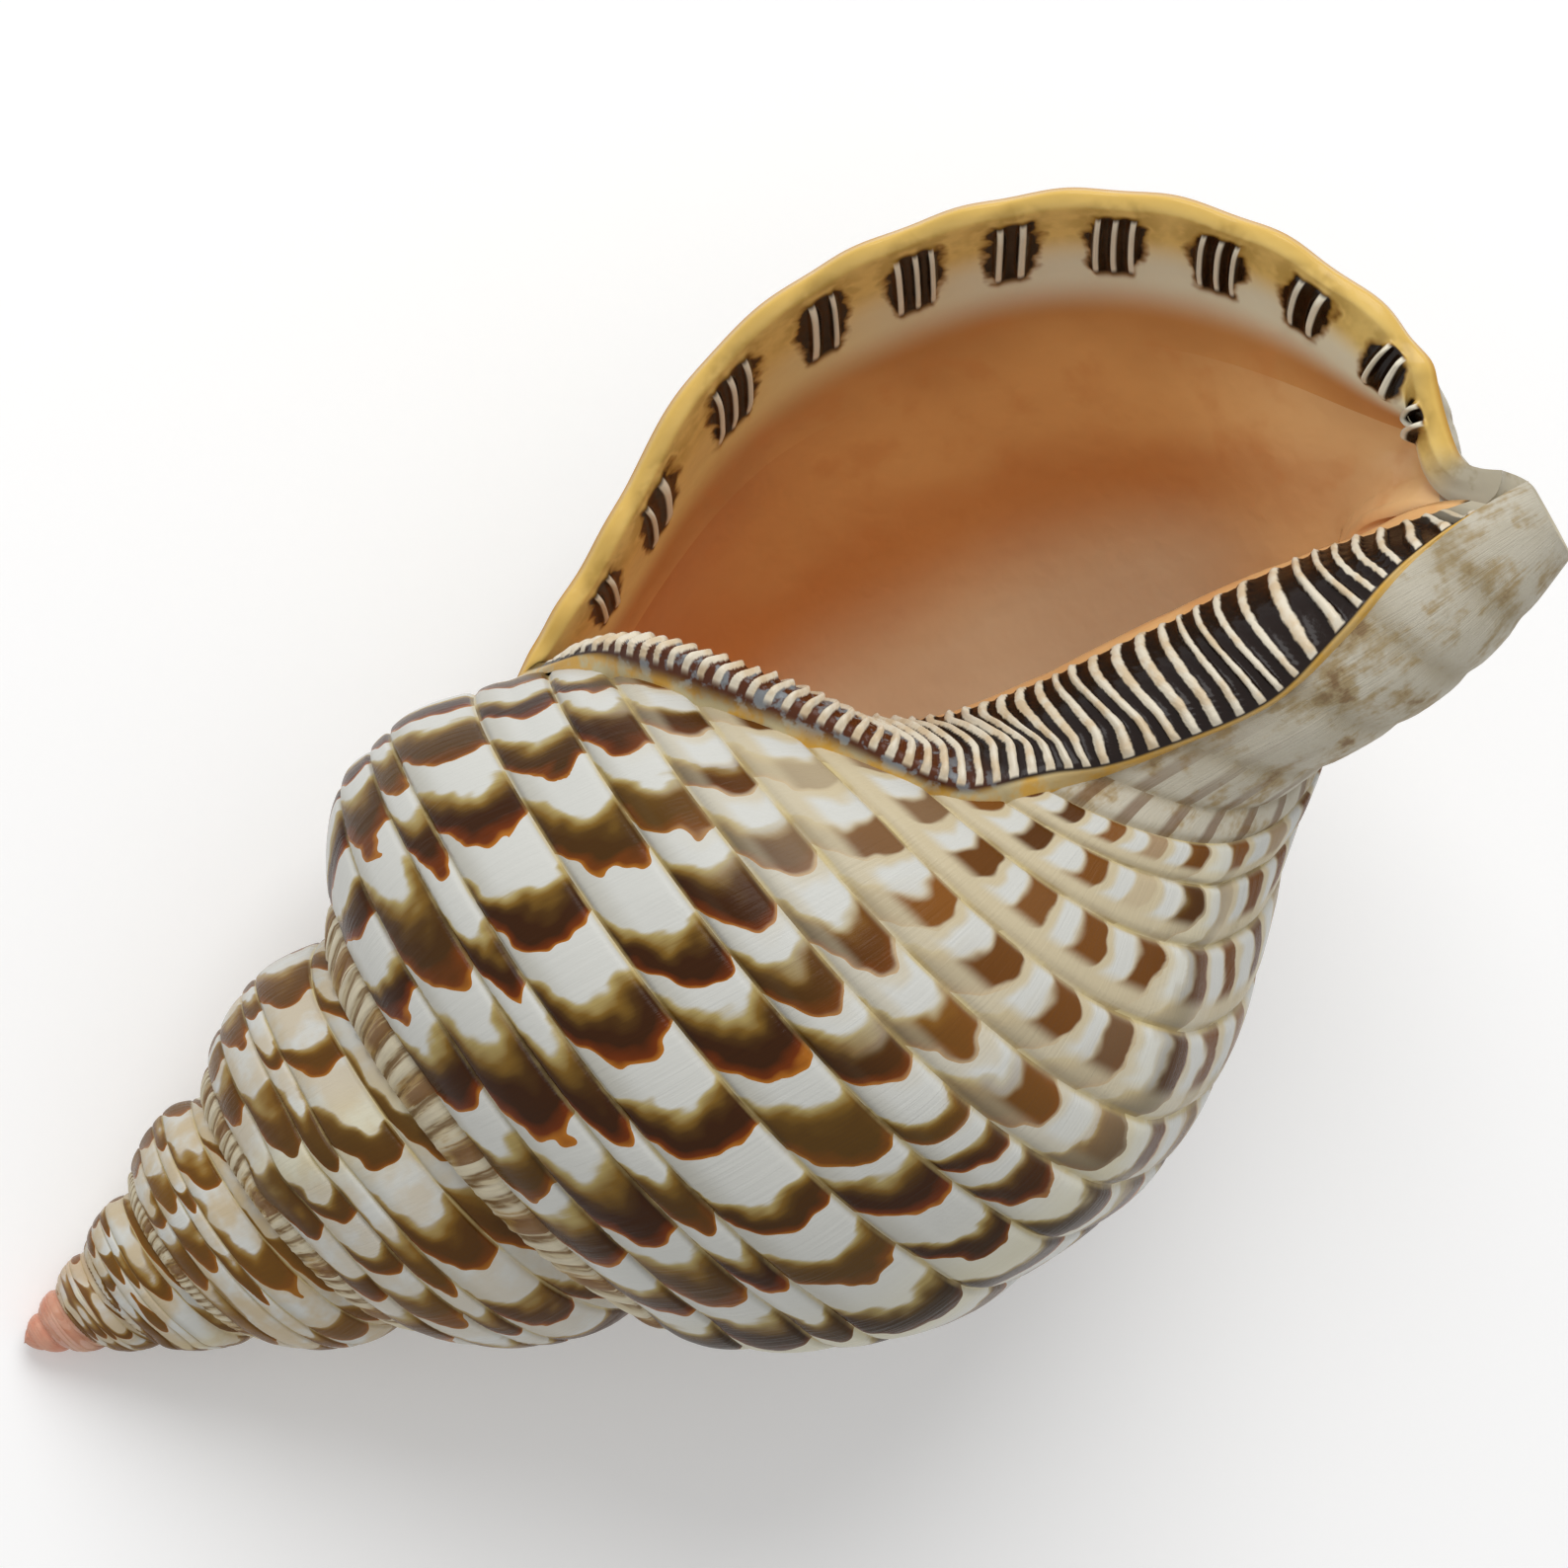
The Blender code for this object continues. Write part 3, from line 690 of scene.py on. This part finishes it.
def meshFrom(name, piece):
    # quads between neighbouring grid points; a closed grid joins its last line to its first and ends in
    # a fan round the middle of its last ring
    points = piece["points"] + shift
    rows, columns = points.shape[:2]
    index = np.arange(rows * columns).reshape(rows, columns)
    if piece["closed"]:
        index = np.concatenate([index, index[:1]])
    faces = cornersOf(index).reshape(-1, 4)
    uv = piece["uv"].reshape(-1, 2)
    flat = points.reshape(-1, 3)
    allFaces = faces.tolist()
    if piece["closed"]:
        ring = index[:, -1]
        flat = np.concatenate([flat, flat[ring].mean(0)[None]])
        fan = np.stack([ring[:-1], np.full(len(ring) - 1, len(flat) - 1), ring[1:]], 1)
        allFaces += fan.tolist()
        uv = np.concatenate([uv, np.zeros((fan.size, 2))])
    mesh = bpy.data.meshes.new(name)
    mesh.from_pydata(flat, [], allFaces)
    layer = mesh.uv_layers.new(name="growth")
    layer.uv.foreach_set("vector", uv.astype(np.float32).ravel())
    for layerName, values in piece["layers"].items():
        colours = np.zeros((len(flat), 4), np.float32)
        colours[:rows * columns] = values.reshape(-1, 4)
        mesh.color_attributes.new(layerName, "FLOAT_COLOR", "POINT").data.foreach_set(
            "color", colours.ravel())
    mesh.polygons.foreach_set("use_smooth", np.ones(len(mesh.polygons), bool))
    mesh.update()
    thing = bpy.data.objects.new(name, mesh)
    bpy.context.scene.collection.objects.link(thing)
    return thing


# kinds of node that many finishes use, each with its settings
times, plus, minus, timesPlus, whole, fraction, positive, larger = (
    ("Math", {"operation": name}) for name in
    ("MULTIPLY", "ADD", "SUBTRACT", "MULTIPLY_ADD", "FLOOR", "FRACT", "ABSOLUTE", "MAXIMUM"))
smooth = ("MapRange", {"interpolation_type": "SMOOTHSTEP"})
mixed = ("Mix", {"data_type": "RGBA"})
clouds = ("TexNoise", {})


def node(tree, kind, *inputs):
    # adds a node with its settings, fills its open inputs in order with sockets, numbers or hex
    # colours, and gives back its first open output
    name, settings = kind if isinstance(kind, tuple) else (kind, {})
    made = tree.nodes.new("ShaderNode" + name)
    for setting, value in settings.items():
        if setting != "stops":
            setattr(made, setting, value)
    for k, (place, colour) in enumerate(settings.get("stops", [])):
        ramp = made.color_ramp.elements
        stop = ramp[k] if k < 2 else ramp.new(place)
        stop.position, stop.color = place, linear(colour)
    for socket, value in zip([i for i in made.inputs if i.enabled], inputs):
        if isinstance(value, bpy.types.NodeSocket):
            tree.links.new(value, socket)
        elif value is not None:
            socket.default_value = linear(value) if isinstance(value, str) else value
    return next(output for output in made.outputs if output.enabled)


def newMaterial(name, roughness, ior, gloss):
    # a material, its shader, and the function that adds nodes to it; gloss is the specular level
    material = bpy.data.materials.new(name)
    material.use_nodes = True
    shader = material.node_tree.nodes["Principled BSDF"]
    shader.inputs["Roughness"].default_value = roughness
    shader.inputs["IOR"].default_value = ior
    shader.inputs["Specular IOR Level"].default_value = gloss
    return material, shader, partial(node, material.node_tree)


def link(socket, target, name):
    # joins an output to a node's input of that name
    target.id_data.links.new(socket, target.inputs[name])


def coordinates(add):
    # map coordinates, the two sets of zone channels, and position in millimetres about the shell
    u, v = add("SeparateXYZ", add(("UVMap", {"uv_map": "growth"}))).node.outputs[:2]
    channels = []
    for name in ("zones", "tones"):
        values = add(("Attribute", {"attribute_name": name}))
        channels.append([*add("SeparateColor", values).node.outputs, values.node.outputs["Alpha"]])
    place = add("TexCoord").node.outputs["Object"]
    return u, v, *channels, add("Mapping", place, None, None, (1000, 1000, 1000))


def stretched(add, u, v, across, along):
    # noise drawn out along the section: fine steps along the growth, long ones across the cords
    vector = add("CombineXYZ", add(times, u, across), add(times, v, along))
    return add(clouds, vector, 1.0, 4.0, 0.55)


patterned = {
    "bow": 0.27,                # how far a square's sharp edge bulges along the growth, in squares
    "whiteShare": 0.37,         # of a square's spacing, before the brown begins
    # the grey listed after white is painted shade, laid on the white ground next to the grooves
    "white": "#D3D3CD", "paintedShade": "#A9A493", "gold": "#AE9A62", "olive": "#7C5C22", "umber": "#4C310D",
    "brown": "#391C03", "rust": "#6E2F06", "edge": "#B87324", "groove": "#CDBB86",
    "baseWhite": "#CDBF9F", "baseBrown": "#86531F", "baseDark": "#54300C",
    "varixWhite": "#DAD3B4", "varixBrown": "#33260F", "warm": "#C2A468", "honey": "#8A5F24",
    "apex": "#D9866A", "paleApex": "#E2B59C", "lipEdge": "#D6B875",
    # sizes of uneven spots, in millimetres
    "wobbleSize": 5.5, "areaSize": 15.0, "warmSize": 7.0, "grooveSize": 6.0, "apexSize": 2.5,
    "growthLineDepth": 0.00016,   # metres
}


def patternedShell():
    # outer prismatic shell, scrubbed and oiled: chalky white ground laid down with brown squares that end
    # at a sharp edge and begin in a golden fade, cord by cord; the eye gets a low satin gloss
    p = patterned
    material, shader, add = newMaterial("patterned shell", roughness=0.26, ior=1.53, gloss=0.10)
    u, v, (base, varix, groove, worn), (edge, warm, strength, _), millimetres = coordinates(add)
    middle = add(timesPlus, add(fraction, v), 2.0, -1.3)
    bow = add(timesPlus, add(times, middle, middle), -p["bow"], p["bow"])
    wobble = add(timesPlus, add(clouds, millimetres, 1 / p["wobbleSize"], 1.0, 0.5), 0.38, -0.19)
    phase = add(plus, add(minus, u, bow), wobble)
    part = add(fraction, phase)
    cell = add("CombineXYZ", add(whole, phase), add(whole, v))
    dice = add(("TexWhiteNoise", {"noise_dimensions": "2D"}), cell).node.outputs["Color"]
    dices = add("SeparateColor", dice).node.outputs
    streaks = stretched(add, u, v, 9.0, 0.7)
    start = add(timesPlus, dices[0], 0.36, p["whiteShare"] - 0.18)
    start = add(plus, start, add(timesPlus, streaks, -0.16, 0.08))
    # up the spire some areas are nearly bare and others nearly filled
    areas = add(clouds, millimetres, 1 / p["areaSize"], 2.0, 0.5)
    areas = add(smooth, areas, 0.40, 0.58, -0.16, 0.28)
    start = add(timesPlus, areas, warm, start)
    # share of the way through the brown, 0 where it starts to 1 at its sharp end
    brown = add("MapRange", part, start, 1.0)
    brown = add(times, brown, strength)
    fade = [(0.0, "white"), (1.0, "edge"), (0.13, "gold"), (0.28, "olive"), (0.42, "umber"),
            (0.56, "brown"), (0.74, "brown"), (0.92, "rust")]
    colour = add(("ValToRGB", {"stops": [(place, p[name]) for place, name in fade]}), brown)
    pale = add(times, add(smooth, dices[1], 0.45, 0.0), 0.35)
    colour = add(mixed, add(times, pale, add(smooth, brown, 0.1, 0.3)), colour, p["olive"])
    dark = add(smooth, brown, 0.05, 0.30)
    colour = add(mixed, add(times, varix, add(times, dark, 0.75)), colour, p["varixBrown"])
    # on the base the squares are small and stand apart from the grooves, orange brown on cream, with a
    # white patch before each
    inner = add(smooth, add(positive, middle), 0.86, 0.46)
    before = add(times, add(smooth, part, 0.04, 0.20), add(smooth, part, 0.54, 0.42))
    creamy = add(mixed, add(times, before, inner), p["baseWhite"], p["white"])
    apart = add(times, add(smooth, part, 0.46, 0.60), add(smooth, part, 0.98, 0.92))
    apart = add(times, add(times, apart, inner), add(smooth, dices[2], -0.10, 0.30))
    baseColour = add(mixed, apart, creamy, add(mixed, dices[1], p["baseBrown"], p["baseDark"]))
    # painted shade: the white ground greys towards the grooves, more on one side of each cord, standing in for
    # the shading of the rounded cords
    paintedShadeBesideGroove = add(smooth, add(positive, middle), 0.45, 1.15, 0.0, 0.5)
    ground = add(mixed, paintedShadeBesideGroove, p["white"], p["paintedShade"])
    ground = add(mixed, add(times, varix, 0.7), ground, p["varixWhite"])
    colour = add(mixed, add(times, warm, 0.5), colour, p["honey"])
    warmth = add(clouds, millimetres, 1 / p["warmSize"], 3.0, 0.55)
    warmth = add(times, warm, add(smooth, warmth, 0.35, 0.60))
    ground = add(mixed, add(times, warmth, 0.6), ground, p["warm"])
    colour = add(mixed, add(smooth, brown, 0.10, 0.0), colour, ground)
    colour = add(mixed, add(times, base, add(timesPlus, varix, -0.45, 1.0)), colour, baseColour)
    grooveColour = add(mixed, add(smooth, brown, 0.0, 0.5, 0.0, 0.55), p["groove"], p["olive"])
    faint = add(clouds, millimetres, 1 / p["grooveSize"], 3.0, 0.55)
    faint = add(smooth, faint, 0.35, 0.65, 0.25, 0.85)
    colour = add(mixed, add(times, add(smooth, groove, 0.45, 0.95), faint), colour, grooveColour)
    tip = add(mixed, add(clouds, millimetres, 1 / p["apexSize"], 3.0, 0.55), p["apex"], p["paleApex"])
    colour = add(mixed, worn, colour, tip)
    colour = add(mixed, edge, colour, p["lipEdge"])
    link(colour, shader, "Base Color")
    lines = add(plus, stretched(add, u, v, 26.0, 0.9), add(times, streaks, 0.6))
    lines = add(times, lines, add(minus, 1.0, edge))
    link(add("Bump", 0.9, p["growthLineDepth"], None, lines), shader, "Normal")
    return material


band = {
    "ground": "#CDBE9C", "crest": "#DDD3B8", "brown": "#6A3F18", "gold": "#AC8846", "valley": "#7A5C34",
    "threadDepth": 0.00016,     # metres
}


def wrinkledBand():
    # the same shell below the suture, plaited into fine cross wrinkles, paler on their crests and darker in
    # its valleys, with brown streaks running along the wrinkles; duller than the cords
    material, shader, add = newMaterial("wrinkled band", roughness=0.46, ior=1.53, gloss=0.2)
    u, v, _, (edge, _, strength, wrinkles), _ = coordinates(add)
    part = add(fraction, u)
    streaks = stretched(add, u, v, 16.0, 1.1)
    past = add(plus, part, add(timesPlus, streaks, 0.8, -0.4))
    brown = add(times, add(smooth, past, 0.55, 0.85), add(smooth, past, 1.10, 1.0))
    brown = add(times, brown, add(smooth, v, 0.05, 0.55, 0.3, 0.9))
    brown = add(times, brown, strength)
    colour = add(mixed, add(smooth, streaks, 0.35, 0.60), band["valley"], band["ground"])
    # paler on the crests of the wrinkles and darker in the valleys between them
    colour = add(mixed, add(smooth, wrinkles, 0.55, 0.9, 0.0, 0.8), colour, band["crest"])
    colour = add(mixed, add(smooth, wrinkles, 0.42, 0.12, 0.0, 0.8), colour, band["valley"])
    colour = add(mixed, add(smooth, brown, 0.0, 0.6, 0.0, 0.7), colour, band["gold"])
    colour = add(mixed, add(smooth, brown, 0.4, 1.0, 0.0, 0.8), colour, band["brown"])
    colour = add(mixed, edge, colour, patterned["lipEdge"])
    link(colour, shader, "Base Color")
    threads = stretched(add, u, v, 40.0, 1.2)
    link(add("Bump", 1.0, band["threadDepth"], None, threads), shader, "Normal")
    return material


neck = {
    "ground": "#BBB29C", "pale": "#D2CCBC", "stain": "#8F7D58", "gold": "#AC8A48", "brown": "#6A4522",
    "groundSize": 6.0, "blotSize": 8.0, "tintSize": 12.0,      # millimetres
    "lineDepth": 0.0002,        # metres
}


def chalkyNeck():
    # the neck of the canal: bare greyish shell with olive-brown stains and small worn brown squares
    material, shader, add = newMaterial("chalky neck", roughness=0.5, ior=1.53, gloss=0.2)
    u, v, (_, _, groove, _), _, millimetres = coordinates(add)
    colour = add(clouds, millimetres, 1 / neck["groundSize"], 3.0, 0.55)
    colour = add(mixed, colour, neck["ground"], neck["pale"])
    streaks = stretched(add, u, v, 5.0, 1.4)
    blots = add(clouds, millimetres, 1 / neck["blotSize"], 4.0, 0.62)
    stains = add(smooth, add(timesPlus, streaks, 0.25, add(times, blots, 0.75)), 0.47, 0.60)
    tint = add(clouds, millimetres, 1 / neck["tintSize"], 2.0, 0.5)
    tint = add(mixed, tint, neck["stain"], neck["gold"])
    colour = add(mixed, add(times, stains, 0.75), colour, tint)
    colour = add(mixed, add(smooth, blots, 0.60, 0.68, 0.0, 0.6), colour, neck["brown"])
    part = add(fraction, u)
    spot = add(times, add(smooth, part, 0.62, 0.78), add(smooth, v, 15.0, 12.5))
    colour = add(mixed, add(times, spot, 0.7), colour, neck["brown"])
    # darker in the grooves, in the stain colour
    colour = add(mixed, add(times, groove, 0.4), colour, neck["stain"])
    link(colour, shader, "Base Color")
    lines = stretched(add, u, v, 18.0, 1.5)
    link(add("Bump", 1.0, neck["lineDepth"], None, lines), shader, "Normal")
    return material


interior = {
    "orange": "#EDB06C", "rust": "#D98E50", "peach": "#F3CC96", "grey": "#F2D9B4", "red": "#CC7F48",
    "brown": "#CE9054", "wideSize": 26.0, "cloudSize": 9.0,    # sizes in millimetres
}


def interiorColour(add, s, millimetres, pale, reddish, light):
    # colour of the glazed hollow: brownish behind the lip, then orange with a rusty arc and soft
    # clouds, redder by the suture, lighter by the canal, with a pale beige patch on the far wall
    wide = add(clouds, millimetres, 1 / interior["wideSize"], 2.0, 0.5)
    past = add(plus, s, add(timesPlus, wide, 1.6, -0.8))
    colour = add(mixed, add(smooth, past, 4.8, 6.0), interior["brown"], interior["orange"])
    arc = add(times, add(smooth, past, 6.2, 6.9), add(smooth, past, 8.2, 7.2))
    colour = add(mixed, add(times, arc, 0.7), colour, interior["rust"])
    colour = add(mixed, add(times, reddish, 0.75), colour, interior["red"])
    colour = add(mixed, add(times, light, 0.7), colour, interior["peach"])
    cloud = add(clouds, millimetres, 1 / interior["cloudSize"], 3.0, 0.5)
    colour = add(mixed, add(smooth, cloud, 0.50, 0.72, 0.0, 0.35), colour, interior["rust"])
    return add(mixed, add(times, pale, 0.9), colour, interior["grey"])


porcelain = {
    "rim": "#C2913C", "edge": "#E4BC62", "band": "#F3D07C", "cool": "#EEEAD2", "blotch": "#1C0E04",
    "olive": "#A07A2C", "halo": "#8E5F20", "tooth": "#F0E8D2",
    "edgeSize": 3.4, "stainSize": 7.0, "glazeSize": 5.0,       # millimetres
    "glazeDepth": 0.0004,       # metres
}


def porcelainLip():
    # callus of the outer lip and the hollow: smooth porcelain glaze, golden at the edge, cool white within
    # it and orange inside, with near-black blotches that carry the white teeth; the eye gets a wet gloss
    p = porcelain
    material, shader, add = newMaterial("porcelain lip", roughness=0.22, ior=1.56, gloss=0.22)
    s, v, (tip, pale, teeth, _), (reach, _, reddish, light), millimetres = coordinates(add)
    colour = add(mixed, add(smooth, s, 0.0, 0.8), p["rim"], p["edge"])
    colour = add(mixed, add(smooth, s, 0.8, 2.4), colour, p["band"])
    cool = add(times, add(smooth, s, 2.9, 4.0), add(smooth, v, 1.5, 5.5, 0.10, 0.9))
    colour = add(mixed, cool, colour, p["cool"])
    inside = interiorColour(add, s, millimetres, pale, reddish, light)
    colour = add(mixed, add(smooth, s, 4.2, 5.0), colour, inside)
    # distance from the nearest blotch's middle, in blotches, ragged and larger away from ring 3.2
    noise = add(clouds, millimetres, 1 / p["edgeSize"], 2.0, 0.5)
    off = add(minus, add(fraction, add(plus, v, 0.5)), 0.5)
    off = add(plus, add(positive, off), add(timesPlus, noise, 0.30, -0.15))
    fromMiddle = add(minus, s, 3.2)
    off = add(plus, off, add(times, add(times, fromMiddle, fromMiddle), 0.12))
    onLip = add(times, add(smooth, v, -0.6, -0.5), add(smooth, v, 10.6, 10.5))
    reach = add(times, reach, onLip)
    halo = add(times, add(smooth, off, 0.36, 0.27), add(smooth, reach, 0.02, 0.25, 0.0, 0.85))
    colour = add(mixed, halo, colour, p["halo"])
    tint = add(times, onLip, add(smooth, noise, 0.35, 0.65, 0.1, 0.55))
    tint = add(times, add(times, add(smooth, off, 0.75, 0.35), tint), add(smooth, s, 3.6, 2.6))
    colour = add(mixed, tint, colour, p["olive"])
    blotch = add(times, add(smooth, off, 0.30, 0.24), add(smooth, reach, 0.12, 0.4))
    colour = add(mixed, blotch, colour, p["blotch"])
    tooth = add(times, add(smooth, teeth, 0.45, 0.75), add(smooth, reach, 0.25, 0.6))
    colour = add(mixed, tooth, colour, p["tooth"])
    stains = add(clouds, millimetres, 1 / p["stainSize"], 4.0, 0.65)
    stains = add(smooth, stains, 0.50, 0.64, 0.0, 0.6)
    colour = add(mixed, tip, colour, add(mixed, stains, neck["ground"], neck["stain"]))
    link(colour, shader, "Base Color")
    glaze = add(clouds, millimetres, 1 / p["glazeSize"], 2.0, 0.55)
    link(add("Bump", 0.6, p["glazeDepth"], None, glaze), shader, "Normal")
    return material


ribbed = {
    "dark": "#1E120D", "brown": "#552A12", "rib": "#E9DFCA", "ribWarm": "#D3B485", "rim": "#D9A94C",
    "callus": "#C9BC94", "blue": "#8F9AA0",
    "edgeSize": 1.5, "rimSize": 5.0, "blueSize": 3.0, "warmSize": 4.0, "glazeSize": 1.2,  # millimetres
    "glazeDepth": 0.00012,      # metres
}


def ribbedLip():
    # inner lip: a dark brown glaze folded into raised cream ribs, bordered by a golden rim; the eye gets
    # a wet gloss on the ribs
    p = ribbed
    material, shader, add = newMaterial("ribbed lip", roughness=0.22, ior=1.56, gloss=0.15)
    across, v, (wall, tip, span, _), (halfWidth, *_), millimetres = coordinates(add)
    # distance past the nearest rib's side, in ribs
    near = add(minus, add(fraction, add(plus, v, 0.5)), 0.5)
    near = add(minus, add(positive, near), halfWidth)
    fine = add(clouds, millimetres, 1 / p["edgeSize"], 2.0, 0.5)
    near = add(plus, near, add(timesPlus, fine, 0.14, -0.07))
    rimShare = add(clouds, millimetres, 1 / p["rimSize"], 3.0, 0.6)
    rimShare = add(times, add(smooth, rimShare, 0.40, 0.62), add(smooth, v, 40.0, 30.0, 0.35, 1.0))
    ground = add(mixed, wall, p["dark"], p["brown"])
    bluish = add(clouds, millimetres, 1 / p["blueSize"], 3.0, 0.55)
    bluish = add(times, wall, add(smooth, bluish, 0.5, 0.6, 0.0, 0.7))
    ground = add(mixed, bluish, ground, p["blue"])
    rib = add(clouds, millimetres, 1 / p["warmSize"], 3.0, 0.55)
    rib = add(mixed, add(smooth, rib, 0.4, 0.65, 0.0, 0.6), p["rib"], p["ribWarm"])
    onRib = add(times, add(smooth, near, 0.05, -0.04), add(smooth, span, 0.05, 0.3))
    colour = add(mixed, onRib, ground, rib)
    border = add(smooth, add(timesPlus, wall, 0.09, across), 0.15, 0.09)
    colour = add(mixed, border, colour, add(mixed, rimShare, p["rim"], p["callus"]))
    inside = interiorColour(add, 7.0, millimetres, 0.3, 0.0, 0.5)
    colour = add(mixed, add(smooth, across, 1.52, 1.62), colour, inside)
    colour = add(mixed, tip, colour, neck["ground"])
    link(colour, shader, "Base Color")
    glaze = add(clouds, millimetres, 1 / p["glazeSize"], 3.0, 0.55)
    link(add("Bump", 0.5, p["glazeDepth"], None, glaze), shader, "Normal")
    return material


materials = {"patterned shell": patternedShell(), "wrinkled band": wrinkledBand(),
             "chalky neck": chalkyNeck(), "porcelain lip": porcelainLip(), "ribbed lip": ribbedLip()}
for name, piece in pieces.items():
    thing = meshFrom(name, piece)
    thing.data.materials.append(materials[piece["material"]])
    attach(thing, "root")
    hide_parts("triton_shell")
    print("placed", name, len(thing.data.polygons), "faces")

# floor, light and camera
studio = {
    "floorSize": 6.0, "floorColour": "#FAFAFA",
    "floorLift": 0.14,          # brings the lit floor up to white for the camera; the shadow stays
    "worldLight": 0.50,         # radiance of the even light from all round
    "keyShare": 0.60,           # share of full light that the key gives at the shell
    "keyDistance": 1.9, "keySize": 1.5, "keyAim": 0.05,
    "keyFrom": (0.42, 0.72, 1.0),
}


def seenDirectly(add):
    # 1 for rays from the camera, off gloss or through glass, 0 for the light that fills the scene
    rays = add("LightPath").node.outputs
    seen = add(larger, rays["Is Camera Ray"], rays["Is Glossy Ray"])
    return add(larger, seen, rays["Is Transmission Ray"])


bpy.ops.mesh.primitive_plane_add(size=studio["floorSize"], location=(0, 0, cadBox[0][2]))
floor = bpy.context.object
floor.name = "floor"
paper, shader, add = newMaterial("matt white paper", roughness=0.9, ior=1.45, gloss=0.0)
shader.inputs["Base Color"].default_value = linear(studio["floorColour"])
shader.inputs["Emission Color"].default_value = (1, 1, 1, 1)
link(add(times, seenDirectly(add), studio["floorLift"]), shader, "Emission Strength")
floor.data.materials.append(paper)

world = bpy.data.worlds.new("studio")
bpy.context.scene.world = world
world.use_nodes = True
background = world.node_tree.nodes["Background"]
background.inputs["Color"].default_value = (1, 1, 1, 1)
add = partial(node, world.node_tree)
# white where seen directly, and worldLight for the light it sheds
strength = add(timesPlus, seenDirectly(add), 1 - studio["worldLight"], studio["worldLight"])
link(strength, background, "Strength")

direction = np.array(studio["keyFrom"]) / np.linalg.norm(studio["keyFrom"])
side = np.cross((0, 0, 1), direction) / np.linalg.norm(np.cross((0, 0, 1), direction))
lamp = bpy.data.lights.new("key", "AREA")
lamp.shape, lamp.size = "DISK", studio["keySize"]
# a lamp of pi^2 d^2 watts gives irradiance pi at distance d, where a colour renders as written
lamp.energy = (math.pi * studio["keyDistance"])**2 * studio["keyShare"]
key = bpy.data.objects.new("key", lamp)
bpy.context.scene.collection.objects.link(key)
key.location = direction * studio["keyDistance"] + np.array([0, 0, studio["keyAim"]])
key.rotation_euler = Matrix(np.stack([side, np.cross(direction, side), direction], 1).tolist()).to_euler()

lens = {
    "aim": (0.01419, 0.00924, 0.06108), "distance": 0.75796, "focalLength": 111.126,
    "sensorWidth": 36,
    "elevation": math.radians(76.684),
    "azimuth": math.radians(-95.941),   # 0 looks along +Y
    "roll": math.radians(-66.248),
}
forward = np.array([-math.sin(lens["azimuth"]) * math.cos(lens["elevation"]),
                    math.cos(lens["azimuth"]) * math.cos(lens["elevation"]), -math.sin(lens["elevation"])])
level = np.cross(forward, (0, 0, 1)) / np.linalg.norm(np.cross(forward, (0, 0, 1)))
upward = np.cross(level, forward)
up = math.cos(lens["roll"]) * upward + math.sin(lens["roll"]) * np.cross(forward, upward)
camera = bpy.data.objects.new("camera", bpy.data.cameras.new("camera"))
camera.data.lens, camera.data.sensor_width = lens["focalLength"], lens["sensorWidth"]
camera.data.clip_start = 0.05
turn = np.eye(4)
turn[:3, :3] = np.stack([np.cross(forward, up), up, -forward], 1)
turn[:3, 3] = np.array(lens["aim"]) - forward * lens["distance"]
camera.matrix_world = Matrix(turn.tolist())
bpy.context.scene.collection.objects.link(camera)
bpy.context.scene.camera = camera
bpy.context.scene.view_settings.view_transform = "Standard"

print("studio and camera set")
